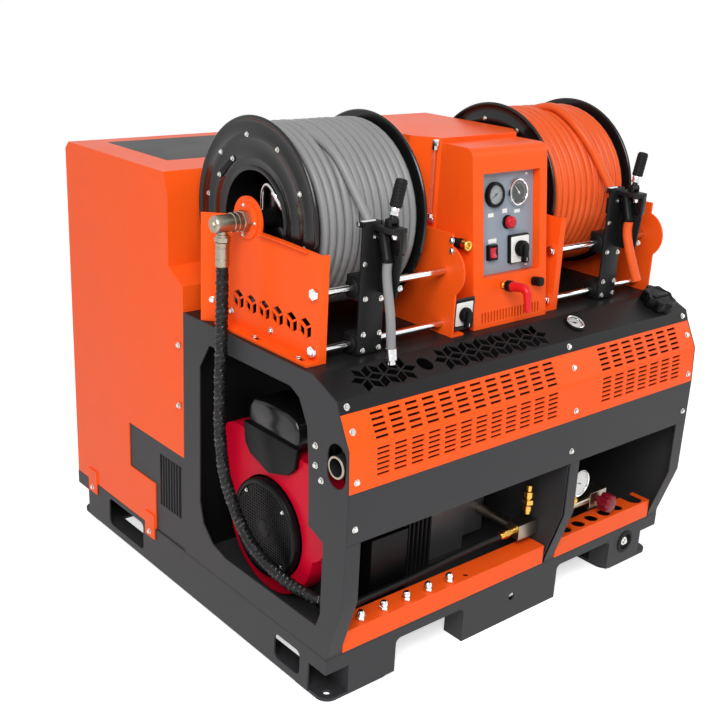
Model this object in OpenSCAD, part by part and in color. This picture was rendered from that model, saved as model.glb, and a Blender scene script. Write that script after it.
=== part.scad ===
/* [Base] */
// Length of the skid base, left to right
base_l = 1170; // [1168:2:1400]
// Depth of the skid base, front to back
base_d = 1130; // [1100:2:1300]
// Height of the skid base
base_h = 120; // [100:2:160]
// Thickness of the folded sheet
sheet_t = 4; // [3:0.5:6]
// Thickness of the ground plates under the beams
foot_t = 8; // [5:1:14]
// Width of the base beams
beam_w = 60; // [45:1:70]
// Height of the lip that runs over the corner notches
lip_h = 35; // [25:1:45]
// Length of each corner notch in the front and rear beams
corner_cut = 65; // [50:1:80]
// Width of the outer legs of the front and rear beams
leg_w = 137; // [110:1:160]
// Width of each fork gap in the front and rear beams
fork_gap_w = 215; // [150:1:260]
// Height of the fork gap above the ground
fork_gap_h = 92; // [70:1:106]
// Corner radius of the fork gaps and side pockets
pocket_r = 14; // [6:1:20]
// Length of the front side pocket
front_pocket_l = 93; // [60:1:120]
// Length of the rear side pocket
rear_pocket_l = 184; // [120:1:200]

/* [Cabinet] */
// Depth of the side plates behind the base's front edge
side_d = 562; // [520:1:600]
// Height of the deck above the ground
deck_z = 738; // [700:1:800]
// How far the front panels stand out past the base
front_reach = 44; // [20:1:60]
// Height of the lower edge of the front panels
bay_top_z = 408; // [360:1:440]
// Width of the flange along the front edge of each side plate
side_flange_w = 37; // [20:1:60]
// Height of the tool ledges above the base
ledge_h = 50; // [30:1:70]
// Depth of the tool ledges
ledge_d = 55; // [40:1:70]

/* [Tank] */
// Height of the water tank's top above the ground
tank_top_z = 1047; // [1000:1:1100]
// Thickness of the tank's walls
tank_wall = 5; // [3:0.5:8]
// Length of the cover plate on the tank
cover_l = 1000; // [700:5:1060]
// Depth of the cover plate on the tank
cover_d = 296; // [200:2:330]

/* [Reels] */
// Radius of the reel flanges
flange_r = 218; // [190:1:225]
// Radius of the reel drum
drum_r = 109; // [90:1:130]
// Distance over the two flanges of a reel
reel_l = 304; // [280:1:320]
// Height of the reel axis above the deck
reel_lift = 246; // [235:1:270]
// Distance of the reel axis behind the base's front edge
reel_y = 376; // [370:1:390]
// Radius of the reel shafts
shaft_r = 22; // [15:0.5:30]
// Radius of the outer layer of hose, at the middle of the hose
wind_r = 195; // [180:1:200]
// Outer diameter of the left hose
left_hose_d = 20; // [14:0.5:20.5]
// Outer diameter of the right hose
right_hose_d = 23; // [16:0.5:24]
// Radius of the guide rods
rod_r = 8; // [5:0.5:10]
// Radial play of shafts and slides
play = 0.05; // [0.02:0.01:0.1]

/* [Control box] */
// Width of the control box
box_w = 246; // [230:1:250]
// Height of the leaning face of the control box
box_face_h = 405; // [395:1:440]
// Backward lean of the face in degrees
lean = 7; // [0:0.5:10]
// Width of the recess for the control panel
recess_w = 189; // [180:1:200]
// Height of the recess for the control panel
recess_h = 232; // [225:1:245]
// Depth of the recess for the control panel
recess_d = 24; // [16:1:40]

/* [Power unit] */
// Radius of the rotating engine screen
screen_r = 118; // [90:1:124]
// Height of the engine shaft above the base
engine_lift = 165; // [160:1:180]
// Radius of the exhaust pipe
exhaust_r = 24; // [15:1:27]

/* [Hidden] */
$fn = 48;
over = 2;
clear = 0.4;

// Heights of the base
floor_z = base_h - sheet_t;
lip_z = floor_z - lip_h;
foot_hole_r = 9;
foot_inset = 6;
foot_corner_r = 30;
foot_depth = 130;
foot_hole_inset = 32;
mid_foot_x = corner_cut + leg_w + fork_gap_w;
mid_foot_l = base_l - corner_cut - corner_cut - leg_w - leg_w - fork_gap_w - fork_gap_w;
mid_hole_r = 10;
port_r = 32;
port_hole_r = 30;
port_t = 3;
port_x = base_l - corner_cut - leg_w / 2;
port_z = (foot_t + floor_z) / 2 + foot_t;
pocket_h = 62;
rear_pocket_h = 78;
pocket_z = 28;
front_pocket_y = 90;
rear_pocket_gap = 180;
rear_pocket_y = base_d - rear_pocket_gap - rear_pocket_l;

// Front profile of the cabinet, from the deck down to the base
deck_front_y = 79;
slope_front_y = 4;
slope_drop = 33;
lip_drop = 59;
panel_top_y = -6;
knuckle_drop = 124;
knuckle_y = -39;
panel_low_drop = 215;
lower_return = 26;
chin_rise = 150;
toe_rise = 9;
slope_z = deck_z - slope_drop;
panel_top_z = deck_z - lip_drop;
knuckle_z = deck_z - knuckle_drop;
panel_low_z = deck_z - panel_low_drop;
chin_z = base_h + chin_rise;
toe_z = base_h + toe_rise;
panel_x = sheet_t;
panel_l = base_l - sheet_t - sheet_t;
slope_inner_share = 0.6;

// Engine window of the side plates, as shares of the side plate's depth and height
side_h = deck_z - base_h;
window_shares = [
    [0.876, 0.822], [0.806, 0.922], [0.27, 0.925], [0.215, 0.9], [0.163, 0.814], [0.146, 0.66],
    [0.137, 0.462], [0.048, 0.432], [0.048, 0.16], [0.072, 0.103], [0.68, 0.103], [0.78, 0.125],
    [0.85, 0.185], [0.876, 0.27]
];
exhaust_y = -9;
exhaust_slot_h = 96;
exhaust_slot_w = 58;
exhaust_drop = 166;
exhaust_z = deck_z - exhaust_drop;
exhaust_slot_y = -6;

// Middle partition
partition_gap = 476;
partition_x = base_l - partition_gap;
partition_flange_w = 34;

// Perforation of the deck's slope
flower_gap = 3;
flower_pitch = 46;
petal_l = flower_pitch - flower_gap * 2;
petal_share = 0.86;
left_flower_x = 110;
left_flowers = 3;
right_flower_x = 340;
right_flowers = 7;
deck_hole_x = 270;
deck_hole_r = 18.5;
slope_mid_y = (deck_front_y + slope_front_y) / 2;
slope_run = deck_front_y - slope_front_y;

// Louvre slots
slot_l = 34;
slot_h = 5.5;
slot_pitch_x = 47;
slot_pitch_z = 11;
left_slots = 12;
right_slots = 7;
upper_rows = 5;
lower_rows = 6;
left_slot_x = 76;
right_slot_gap = 96;
right_slot_x = partition_x + right_slot_gap;
slot_margin = 8;

// Tool ledges and what stands on them
ledge_gap = 4;
ledge_z = base_h + ledge_h;
left_ledge_x = sheet_t + side_flange_w + ledge_gap;
left_ledge_l = partition_x - left_ledge_x - ledge_gap;
right_ledge_x = partition_x + sheet_t + partition_flange_w + ledge_gap;
right_ledge_l = base_l - sheet_t - side_flange_w - ledge_gap - right_ledge_x;
nozzle_count = 5;
nozzle_pitch = 67;
nozzle_x = 106;
nozzle_y = 16.5;
nozzle_r = 11;
nozzle_stem_r = 7;
nozzle_h = 24;
nozzle_stem_l = 26;
spare_hole_gap = 55;
tool_hole_r = 18;
tool_hole_pitch = 53;
tool_hole_gap = 64;
tool_hole_x = right_ledge_x + tool_hole_gap;
tool_hole_y = 26;
tool_slot_r = 23;
tool_slot_gap = 78;

// Water tank
tank_gap = 1;
tank_front_y = side_d + tank_gap;
tank_step_y = 625;
tank_step_z = 994;
tank_neck_z = 832;
tank_slope_z = 799;
tank_crown_y = 644;
tank_back_gap = 2;
tank_back_y = base_d - tank_back_gap;
tank_round = 18;
tank_roof_t = 12;
tank_rebate = 4;
cover_lip = 40;
cover_back_gap = 64;
cover_y = tank_back_y - cover_back_gap - cover_d;
cover_x = (base_l - cover_l) / 2;
vent_d = 60;
vent_y = 700;
vent_back_y = 829;
vent_z = 249;
vent_top_z = 372;
lug_front_gap = 3;
lug_back_gap = 114;
lug_ys = [vent_y + lug_front_gap, tank_back_y - lug_back_gap];
lug_w = 46;
lug_h = 68;
lug_drop = 32;
lug_hole_r = 7;

// Vent guards
guard_inset = 3;
guard_open_y = 580;
guard_open_l = 100;
guard_open_z = 200;
guard_open_h = 140;
guard_blades = 7;
blade_t = 3;
blade_d = 22;

// Reel units: outer bracket, reel, inner bracket
bracket_t = 5;
bracket_x = 45;
unit_l = 362;
right_x = base_l - bracket_x - unit_l;
reel_z = deck_z + reel_lift;
reel_u = 16;
bracket_front_y = 118;
bracket_back_y = 452;
bracket_mid_y = 250;
bracket_top = 230;
bracket_front_top = 226;
ear_r = 52;
bracket_foot_w = 32;
bracket_return_w = 19;
rear_flange_w = 58;
rear_flange_h = 246;
rod_y = 135;
rod_lifts = [145, 24];
bulge_r = 60;
neck_y = 118;
inner_front_y = 97;

glyph_count = 6;
glyph_r = 23;
glyph_pitch = 48;
glyph_y = 166;
glyph_z = 65;
glyph_web = 2.5;
foot_slot_l = 30;
foot_slot_r = 6;
foot_slot_ys = [163, 319];
rod_nut_r = 13;
rod_nut_t = 9;

// Reels
rim_t = 8;
rim_w = 8;
web_t = 4;
ridge_r = 172;
ridge_w = 12;
ridge_h = 3;
drum_wall = 4;
collar_r = 34;
collar_l = 10;
spoke_w = 30;
spoke_t = 8;
spoke_us = [70, 230];
crimp_r = 9;
crimp_stem_r = 7;
crimp_u = 40;
crimp_rise = 84;
crimp_l = 30;

// Hose windings
wind_margin = 2;
core_gap = 0.3;
loop_rings = 24;
tube_sides = 6;
wind_start_angle = 200;

// Hose guides
guide_left_u = 95;
guide_right_u = 168;
guide_w = 66;
guide_plate_w = 50;
guide_low_h = 129;
guide_plate_y = 111;
guide_plate_t = 5;
guide_top = 284;
guide_lift = 3;
bearing_l = 66;
bearing_h = 50;
low_bearing_h = 44;
bearing_back = 21;
block_d = 61;
block_h = 59;
block_drop = 6;
flank_t = 5;
flank_h = 146;
guide_cap_w = 40;
guide_cap_h = 12;
sleeve_r = 12.5;
sleeve_l = 60;
hose_y = 75;
roller_r = 6;
roller_lift = 6;
roller_y = 128;
lever_x = 48;
lever_y = 80;
lever_r = 5;
lever_hub_w = 16;
ear_t = 5;
lever_ear = 16;
lever_pin_r = 6;
lever_pin_rise = 10;
lever_tilt = 14;
lever_stem_l = 12;
grip_r = 13;
grip_l = 58;
ferrule_r = 10;
ferrule_l = 17;
tail_u = 38;
tail_lean = -8;
tail_end_r = 12;
tail_end_l = 32;
tail_z = deck_z + guide_top - block_drop - guide_cap_h - sleeve_l;
left_tail_route = [[0, 0, 0], [0, 0, -24], [0, -8, -64], [0, -18, -110], [0, -23, -150], [0, -26, -178]];
right_tail_route = [[0, 0, 0], [0, 0, -24], [0, -10, -60], [2, -25, -100], [8, -40, -142]];

// Swivels
swivel_r = 19;
swivel_l = 86;
swivel_nut_r = 25;
swivel_nut_l = 16;
swivel_flange_r = 40;
swivel_flange_t = 4;
elbow_u = 62;
elbow_r = 14;
elbow_l = 40;
ferrule_big_r = 15;
ferrule_big_l = 52;
ferrule_z = reel_z - elbow_l - ferrule_big_l;

// Supply hose, route points in the machine's own frame
supply_r = 13;
supply_route = [
    [-17, 376, 0], [-17, 376, -60], [-17, 377, -120], [-17, 378, -180], [-18, 380, -240], [-18, 380, -300],
    [-18, 381, -360], [-16, 377, -420], [-12, 370, -480], [-4, 352, -540], [8, 318, -610], [16, 270, -650],
    [24, 220, -672], [34, 165, -686], [48, 115, -694], [62, 84, -700], [63, 75, -700], [63, 66, -700]
];
supply_sides = 10;
coupling_x = 46;
coupling_y = 32;
coupling_w = 34;
coupling_h = 40;

// Pump hose, route points in the machine's own frame
pump_hose_r = 8;
pump_route = [
    [80, 50, 190], [95, 50, 190], [120, 54, 187], [150, 59, 184], [190, 62, 182], [230, 63, 182],
    [270, 63, 183], [310, 62, 186],
    [350, 61, 190], [390, 59, 195], [430, 57, 200], [470, 54, 204], [510, 52, 208], [545, 50, 210],
    [574, 50, 210]
];

// Centre tower and level tube
box_shift = 18;
box_x = base_l / 2 - box_w / 2 + box_shift;
box_y = 104;
tower_y = 250;
tower_back_y = 558;
hood_back_y = 606;
hood_z = 1045;
hood_top_z = 1150;
tower_wing = 40;
tower_wing_y = 312;
tower_right_gap = 11;
hood_wing_y = 298;
level_r = 5;
level_z = 957;
level_l = 190;
level_out = 9;
level_share = 0.15;
level_block = 14;

// Control box
box_round = 22;
box_wall = 3;
recess_x = 33;
recess_z = 116;
panel_t = 3;
panel_y = recess_d - panel_t;
vent_slots = 20;
vent_slot_w = 4;
vent_slot_h = 24;
vent_slot_z = 12;
vent_slot_pitch = 10;
vent_slot_x = 26;

// Instruments, placed on the leaning face
dial_r = 31;
dial_rim = 5;
dial_d = 12;
dial_z = 298;
dial_xs = [86, 167];
button_x = 132;
button_z = 232;
button_r = 14;
button_collar_r = 16;
button_collar_d = 4;
button_d = 14;
button_travel = 2.5;
button_stem_r = 6;
rocker_x = 77;
rocker_z = 168;
rocker_w = 20;
rocker_h = 26;
rocker_rim = 5;
rocker_d = 7;
rocker_gap = 1.5;
rocker_frame_d = 10;
rocker_pin_r = 2;
cam_x = 166;
cam_z = 168;
cam_plate = 66;
cam_plate_t = 8;
cam_hub_r = 21;
cam_hub_d = 12;
cam_grip_w = 12;
cam_grip_l = 50;
cam_grip_d = 12;
cam_stem_r = 5;
selector_plate_w = 68;
selector_plate_h = 74;
selector_plate_t = 3;
selector_back = 4;
selector_lift = 8;
selector_hub_r = 15;
selector_grip_l = 38;
nipple_r = 7;
nipple_l = 16;
ring_r = 12;
side_union_y = 146;
side_union_rise = 193;
side_union_z = deck_z + side_union_rise;
valve_z = 93;
valve_x = 94;
socket_r = 13;
socket_l = 14;
valve_stem_r = 6;
valve_arm_r = 11;
valve_tip_r = 7;
valve_reach = 45;
valve_drop = 46;
gland_x = 200;
gland_z = 88;
gland_r = 11;
gland_l = 26;

// Fuel tank, gauge and cap
fuel_l = 370;
fuel_inset = 30;
fuel_x = base_l - fuel_inset - fuel_l;
fuel_y = 90;
fuel_d = 320;
fuel_h = 150;
fuel_wall = 5;
neck_r = 30;
neck_inner_r = 24;
cap_inset = 84;
cap_x = base_l - cap_inset;
cap_y = 44;
cap_r = 40;
cap_h = 30;
cap_ribs = 10;
cap_rib_r = 4;
neck_rise = 22;
neck_depth = 150;
fuel_dial_inset = 406;
fuel_dial_x = base_l - fuel_dial_inset;
fuel_dial_r = 27;
fuel_dial_t = 8;
slope_angle = atan(slope_drop / slope_run);

// Power unit
engine_y = 300;
engine_z = base_h + engine_lift;
engine_x = 120;
engine_l = 190;
crank_w = 220;
crank_h = 210;
engine_foot_h = 26;
engine_foot_w = 260;
cylinder_r = 62;
cylinder_l = 210;
fin_count = 7;
fin_r = 74;
fin_t = 5;
vee = 45;
shroud_x = 66;
shroud_l = 54;
shroud_r = 160;
shroud_wall = 4;
shroud_w = 400;
shroud_drop = 23;
shroud_h = 230;
shroud_round = 60;
boss_offset = 95;
boss_r = 9;
fan_x = 46;
fan_t = 18;
fan_blades = 18;
fan_blade_t = 8;
fan_hub_r = 40;
fan_rim = 9;
crank_r = 16;
crank_depth = 40;
cleaner_x = 72;
cleaner_l = 230;
cleaner_y = 205;
cleaner_d = 190;
cleaner_z = 505;
cleaner_h = 108;
cleaner_neck_r = 30;
cleaner_round = 24;
muffler_x = 70;
muffler_l = 330;
muffler_r = 44;
muffler_y = 24;
muffler_rise = 14;
muffler_z = exhaust_z + muffler_rise;
exhaust_out = 2;
exhaust_in = 20;
flange_pipe_r = 20;
gear_x = engine_x + engine_l;
gear_l = 110;
gear_w = 180;
gear_h = 200;
gear_front_y = 140;
gear_fins = 8;
gear_fin_d = 14;
gear_fin_t = 5;
battery_x = 196;
battery_l = 110;
battery_y = 92;
battery_d = 62;
battery_h = 178;
terminal_r = 8;
terminal_h = 14;
pump_x = gear_x + gear_l;
pump_l = 240;
pump_w = 190;
pump_h = 170;
pump_front_y = 175;
head_l = 80;
head_h = 120;
head_w = 170;
valve_caps = 3;
valve_cap_r = 16;
valve_cap_h = 14;
manifold_l = 66;
manifold_gap = 4;
manifold_x = partition_x - manifold_gap - manifold_l;
manifold_y = 30;
manifold_s = 40;
manifold_z = ledge_z + manifold_s;
manifold_pipe_r = 14;
feed_r = 9;
union_r = 12;
union_l = 50;
gauge_gap = 161;
gauge_x = partition_x + gauge_gap;
gauge_r = 38;
gauge_t = 30;
gauge_rim = 4;
gauge_rise = 60;
gauge_stem_r = 8;
unload_gap = 218;
unload_x = partition_x + unload_gap;
unload_l = 66;
unload_y = 40;
unload_s = 44;
unload_stem_r = 8;
unload_stem_l = 12;
unload_knob_r = 21;
unload_knob_l = 34;
unload_post = 26;
knob_lobes = 8;
lobe_r = 5;
screw_r = 7;
screw_h = 4;
screw_inset = 23;
lug_bolt_r = 8;
screw_shares = [0.5, 0.5, 0.75, 0.7];
side_screw_shares = [[0.109, 0.765], [0.105, 0.696], [0.069, 0.654]];
frame_mid_y = (base_d - front_reach - screw_h) / 2;

// Helpers
module in_frame() { translate([-base_l / 2, -frame_mid_y, 0]) children(); }
module slab_x(x, l) { translate([x, 0, 0]) rotate([90, 0, 90]) linear_extrude(l) children(); }
module slab_y(y, l) { translate([0, y + l, 0]) rotate([90, 0, 0]) linear_extrude(l) children(); }
module rod_along_x(l, r) { rotate([0, 90, 0]) cylinder(h = l, r = r); }
module rod_along_y(l, r) { rotate([-90, 0, 0]) cylinder(h = l, r = r); }
module to_right() { translate([base_l, 0, 0]) mirror([1, 0, 0]) children(); }
module on_face() { translate([box_x, box_y, deck_z]) rotate([-lean, 0, 0]) children(); }
module at_axis(x) { translate([x, reel_y, reel_z]) children(); }
module round_rect(w, h, r) {
    translate([r, 0]) square([w - r - r, h]);
    translate([0, r]) square([w, h - r - r]);
    for (x = [r, w - r], y = [r, h - r]) translate([x, y]) circle(r);
}
module obround(l, r) {
    translate([0, -r]) square([l, r + r]);
    circle(r);
    translate([l, 0]) circle(r);
}
module rhombus(r) { polygon([[0, 0], [r * cos(30), r / 2], [0, r], [-r * cos(30), r / 2]]); }

// Skid base
module beam_outline() {
    difference() {
        union() {
            translate([0, lip_z]) square([base_l, lip_h]);
            translate([corner_cut, foot_t]) square([base_l - corner_cut * 2, floor_z - foot_t]);
        }
        for (x = [corner_cut + leg_w, mid_foot_x + mid_foot_l])
            translate([x, foot_t - pocket_r - over])
                round_rect(fork_gap_w, fork_gap_h - foot_t + pocket_r + over, pocket_r);
    }
}
module beam_hollow() {
    for (leg = [[corner_cut, leg_w], [mid_foot_x, mid_foot_l], [base_l - corner_cut - leg_w, leg_w]])
        translate([leg[0] + sheet_t, foot_t - over])
            square([leg[1] - sheet_t * 2, floor_z - foot_t - sheet_t + over]);
    translate([sheet_t, fork_gap_h + sheet_t])
        square([base_l - sheet_t * 2, floor_z - fork_gap_h - sheet_t * 2]);
}
module corner_foot() {
    difference() {
        translate([foot_inset, foot_inset, 0])
            linear_extrude(foot_t) round_rect(corner_cut + leg_w - foot_inset, foot_depth, foot_corner_r);
        translate([foot_hole_inset, foot_hole_inset, -over])
            cylinder(h = foot_t + over * 2, r = foot_hole_r);
    }
}
module end_beam() {
    difference() {
        slab_y(0, beam_w) beam_outline();
        slab_y(sheet_t, beam_w) beam_hollow();
    }
    corner_foot();
    to_right() corner_foot();
    translate([mid_foot_x, 0, 0]) cube([mid_foot_l, beam_w, foot_t]);
}
module side_beam() {
    beam_l = base_d - beam_w * 2;
    beam_h = floor_z - foot_t;
    difference() {
        translate([0, beam_w, foot_t]) cube([beam_w, beam_l, beam_h]);
        translate([sheet_t, beam_w - over, foot_t + sheet_t])
            cube([beam_w, beam_l + over * 2, beam_h - sheet_t * 2]);
        slab_x(-over, sheet_t + over * 2) {
            translate([front_pocket_y, pocket_z]) round_rect(front_pocket_l, pocket_h, pocket_r);
            translate([rear_pocket_y, pocket_z]) round_rect(rear_pocket_l, rear_pocket_h, pocket_r);
        }
    }
}
module base_floor() {
    color("dimgray") in_frame() translate([0, 0, floor_z]) cube([base_l, base_d, sheet_t]);
}
module front_beam() {
    color("dimgray") in_frame() difference() {
        end_beam();
        translate([base_l / 2, -over, (foot_t + floor_z) / 2]) rod_along_y(sheet_t + over * 2, mid_hole_r);
        translate([port_x, -over, port_z]) rod_along_y(sheet_t + over * 2, port_hole_r);
    }
}
module rear_beam() { color("dimgray") in_frame() translate([0, base_d, 0]) mirror([0, 1, 0]) end_beam(); }
module left_beam() { color("dimgray") in_frame() side_beam(); }
module right_beam() { color("dimgray") in_frame() to_right() side_beam(); }

// Cabinet
function toe_strip() = [
    [-front_reach, bay_top_z], [-front_reach, chin_z], [0, toe_z], [0, base_h],
    [sheet_t, base_h], [sheet_t, toe_z], [sheet_t - front_reach, chin_z], [sheet_t - front_reach, bay_top_z]
];
module side_plate(open) {
    slab_x(0, sheet_t) difference() {
        polygon([
            [side_d, base_h], [side_d, deck_z], [deck_front_y, deck_z], [slope_front_y, slope_z],
            [panel_top_y, panel_top_z], [knuckle_y, knuckle_z], [-front_reach, panel_low_z],
            [-front_reach, chin_z], [0, toe_z], [0, base_h]
        ]);
        if (open) polygon([for (p = window_shares) [p[0] * side_d, base_h + p[1] * side_h]]);
        translate([exhaust_slot_y, exhaust_z + (exhaust_slot_w - exhaust_slot_h) / 2])
            rotate(90) obround(exhaust_slot_h - exhaust_slot_w, exhaust_slot_w / 2);
    }
    slab_x(sheet_t, side_flange_w) polygon(toe_strip());
}
module left_side_plate() { color("dimgray") in_frame() side_plate(true); }
module right_side_plate() { color("dimgray") in_frame() to_right() side_plate(false); }
module centre_partition() {
    color("dimgray") in_frame() {
        difference() {
            slab_x(partition_x, sheet_t) polygon([
                [side_d, base_h], [side_d, deck_z - sheet_t], [deck_front_y, deck_z - sheet_t],
                [slope_front_y + sheet_t, slope_z - sheet_t * slope_inner_share],
                [panel_top_y + sheet_t, panel_top_z],
                [knuckle_y + sheet_t, knuckle_z], [sheet_t - front_reach, panel_low_z],
                [sheet_t - front_reach, chin_z], [sheet_t, toe_z], [sheet_t, base_h]
            ]);
            translate([partition_x - over, manifold_y + manifold_s / 2, manifold_z])
                rod_along_x(sheet_t + over * 2, feed_r + clear);
        }
        slab_x(partition_x + sheet_t, partition_flange_w) polygon(toe_strip());
    }
}
module petal(a) {
    half = petal_l * tan(30) / 2;
    middle = flower_pitch / 2;
    polygon([for (p = [[flower_gap, 0], [middle, half], [flower_pitch - flower_gap, 0], [middle, -half]])
        [p[0] * cos(a) - p[1] * sin(a), petal_share * (p[0] * sin(a) + p[1] * cos(a))]]);
}
module flowers(x, count) {
    for (k = [0:count - 1]) translate([x + k * flower_pitch, 0])
        for (a = [60:60:(k == count - 1 ? 360 : 300)]) petal(a);
}
module top_deck() {
    color("black") in_frame() difference() {
        slab_x(panel_x, panel_l) polygon([
            [side_d, deck_z], [deck_front_y, deck_z], [slope_front_y, slope_z], [panel_top_y, panel_top_z],
            [panel_top_y + sheet_t, panel_top_z],
            [slope_front_y + sheet_t, slope_z - sheet_t * slope_inner_share],
            [deck_front_y, deck_z - sheet_t], [side_d, deck_z - sheet_t]
        ]);
        translate([0, slope_mid_y, slope_z - sheet_t * 2]) linear_extrude(slope_drop + sheet_t * 2 + over) {
            flowers(left_flower_x, left_flowers);
            flowers(right_flower_x, right_flowers);
            translate([deck_hole_x, 0]) circle(deck_hole_r);
        }
        on_slope(cap_x, cap_y) translate([0, 0, -sheet_t * 4])
            cylinder(h = sheet_t * 8, r = neck_r + clear);
    }
}
module on_slope(x, y) {
    translate([x, y, deck_z - (deck_front_y - y) * slope_drop / slope_run]) rotate([slope_angle, 0, 0])
        children();
}
module slot_group(x, count) {
    for (k = [0:count - 1]) translate([x + k * slot_pitch_x, -front_reach - over, 0]) {
        for (j = [0:upper_rows - 1])
            translate([0, 0, knuckle_z + slot_margin + j * slot_pitch_z])
                cube([slot_l, front_reach + over, slot_h]);
        for (j = [0:lower_rows - 1])
            translate([0, 0, knuckle_z - slot_margin - j * slot_pitch_z - slot_h])
                cube([slot_l, front_reach + over, slot_h]);
    }
}
module louvre_panel() {
    color("orangered") in_frame() difference() {
        slab_x(panel_x, panel_l) polygon([
            [panel_top_y, panel_top_z], [knuckle_y, knuckle_z], [-front_reach, panel_low_z],
            [sheet_t - front_reach, panel_low_z], [knuckle_y + sheet_t, knuckle_z],
            [panel_top_y + sheet_t, panel_top_z]
        ]);
        slot_group(left_slot_x, left_slots);
        slot_group(right_slot_x, right_slots);
    }
}
module lower_panel() {
    color("dimgray") in_frame() translate([panel_x, -front_reach, bay_top_z]) {
        cube([panel_l, sheet_t, panel_low_z - bay_top_z]);
        translate([side_flange_w, sheet_t, 0])
            cube([partition_x - panel_x - side_flange_w, lower_return, sheet_t]);
    }
}
module ledge(x, l) {
    translate([x, 0, base_h]) cube([l, sheet_t, ledge_h]);
    translate([x, 0, ledge_z - sheet_t]) cube([l, ledge_d, sheet_t]);
}
module tool_ledges() {
    tool_slot_x = tool_hole_x + (nozzle_count - 1) * tool_hole_pitch + tool_slot_gap;
    color("orangered") in_frame() difference() {
        union() {
            ledge(left_ledge_x, left_ledge_l);
            ledge(right_ledge_x, right_ledge_l);
        }
        for (k = [0:nozzle_count - 1])
            ledge_hole(nozzle_x + k * nozzle_pitch, nozzle_y, nozzle_stem_r + clear);
        ledge_hole(nozzle_x + (nozzle_count - 1) * nozzle_pitch + spare_hole_gap, nozzle_y, nozzle_stem_r);
        for (k = [0:nozzle_count - 1])
            ledge_hole(tool_hole_x + k * tool_hole_pitch, tool_hole_y, tool_hole_r);
        translate([tool_slot_x, tool_hole_y + over, 0]) {
            ledge_hole(0, 0, tool_slot_r);
            translate([-tool_slot_r, 0, ledge_z - sheet_t - over])
                cube([tool_slot_r * 2, ledge_d, sheet_t + over * 2]);
        }
    }
}
module ledge_hole(x, y, r) {
    translate([x, y, ledge_z - sheet_t - over]) cylinder(h = sheet_t + over * 2, r = r);
}
module spare_nozzles() {
    color("silver") in_frame() for (k = [0:nozzle_count - 1])
        translate([nozzle_x + k * nozzle_pitch, nozzle_y, ledge_z]) {
            cylinder(h = nozzle_h / 2, r = nozzle_r, $fn = 6);
            cylinder(h = nozzle_h, r = nozzle_stem_r);
            translate([0, 0, -nozzle_stem_l]) cylinder(h = nozzle_stem_l, r = nozzle_stem_r);
        }
}

// Water tank
function tank_profile(w, roof) = [
    [tank_front_y + w, base_h + w], [tank_front_y + w, tank_slope_z + w / 2],
    [tank_step_y + w, tank_neck_z + w / 2],
    [tank_step_y + w, tank_step_z], [tank_crown_y + w, tank_top_z - roof],
    [tank_back_y - tank_round - w, tank_top_z - roof],
    [tank_back_y - w, tank_top_z - tank_round - roof], [tank_back_y - w, base_h + w]
];
module vent_notch(w) {
    slab_x(-over, vent_d + w + over) polygon([
        [tank_front_y - over, base_h - over], [tank_front_y - over, vent_top_z + w],
        [vent_back_y + w, vent_top_z + w],
        [vent_back_y + w, vent_z - w], [vent_y + w, vent_z - w], [vent_y + w, base_h - over]
    ]);
}
module tank_lugs() {
    for (y = lug_ys) translate([-sheet_t, y, base_h - lug_drop]) difference() {
        cube([sheet_t, lug_w, lug_h]);
        translate([-over, lug_w / 2, lug_drop / 2]) rod_along_x(sheet_t + over * 2, lug_hole_r);
    }
}
module water_tank() {
    color("orangered") in_frame() {
        difference() {
            slab_x(0, base_l) polygon(tank_profile(0, 0));
            difference() {
                slab_x(tank_wall, base_l - tank_wall * 2) polygon(tank_profile(tank_wall, tank_roof_t));
                vent_notch(tank_wall);
                to_right() vent_notch(tank_wall);
            }
            vent_notch(0);
            to_right() vent_notch(0);
            translate([cover_x, cover_y, tank_top_z - tank_rebate])
                cube([cover_l, cover_d, tank_rebate + over]);
            translate([cover_x + cover_lip, cover_y + cover_lip, tank_top_z - tank_roof_t - over])
                cube([cover_l - cover_lip * 2, cover_d - cover_lip * 2, tank_roof_t + over * 2]);
        }
        tank_lugs();
        to_right() tank_lugs();
    }
}
module tank_cover() {
    color("black") in_frame() translate([cover_x + clear, cover_y + clear, tank_top_z - tank_rebate])
        cube([cover_l - clear * 2, cover_d - clear * 2, tank_rebate]);
}
module vent_guard() {
    slab_x(guard_inset, sheet_t) difference() {
            polygon([
                [tank_front_y, base_h], [tank_front_y, vent_top_z], [vent_back_y, vent_top_z],
                [vent_back_y, vent_z], [vent_y, vent_z], [vent_y, base_h]
            ]);
            translate([guard_open_y, guard_open_z]) square([guard_open_l, guard_open_h]);
        }
    for (k = [1:guard_blades])
        translate([guard_inset, guard_open_y + k * guard_open_l / (guard_blades + 1), guard_open_z])
            cube([blade_d, blade_t, guard_open_h]);
    for (z = [guard_open_z - blade_t, guard_open_z + guard_open_h])
        translate([guard_inset + sheet_t, guard_open_y, z])
            cube([blade_d - sheet_t, guard_open_l, blade_t]);
}
module vent_guards() {
    color("gray") in_frame() {
        vent_guard();
        to_right() vent_guard();
    }
}

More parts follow.
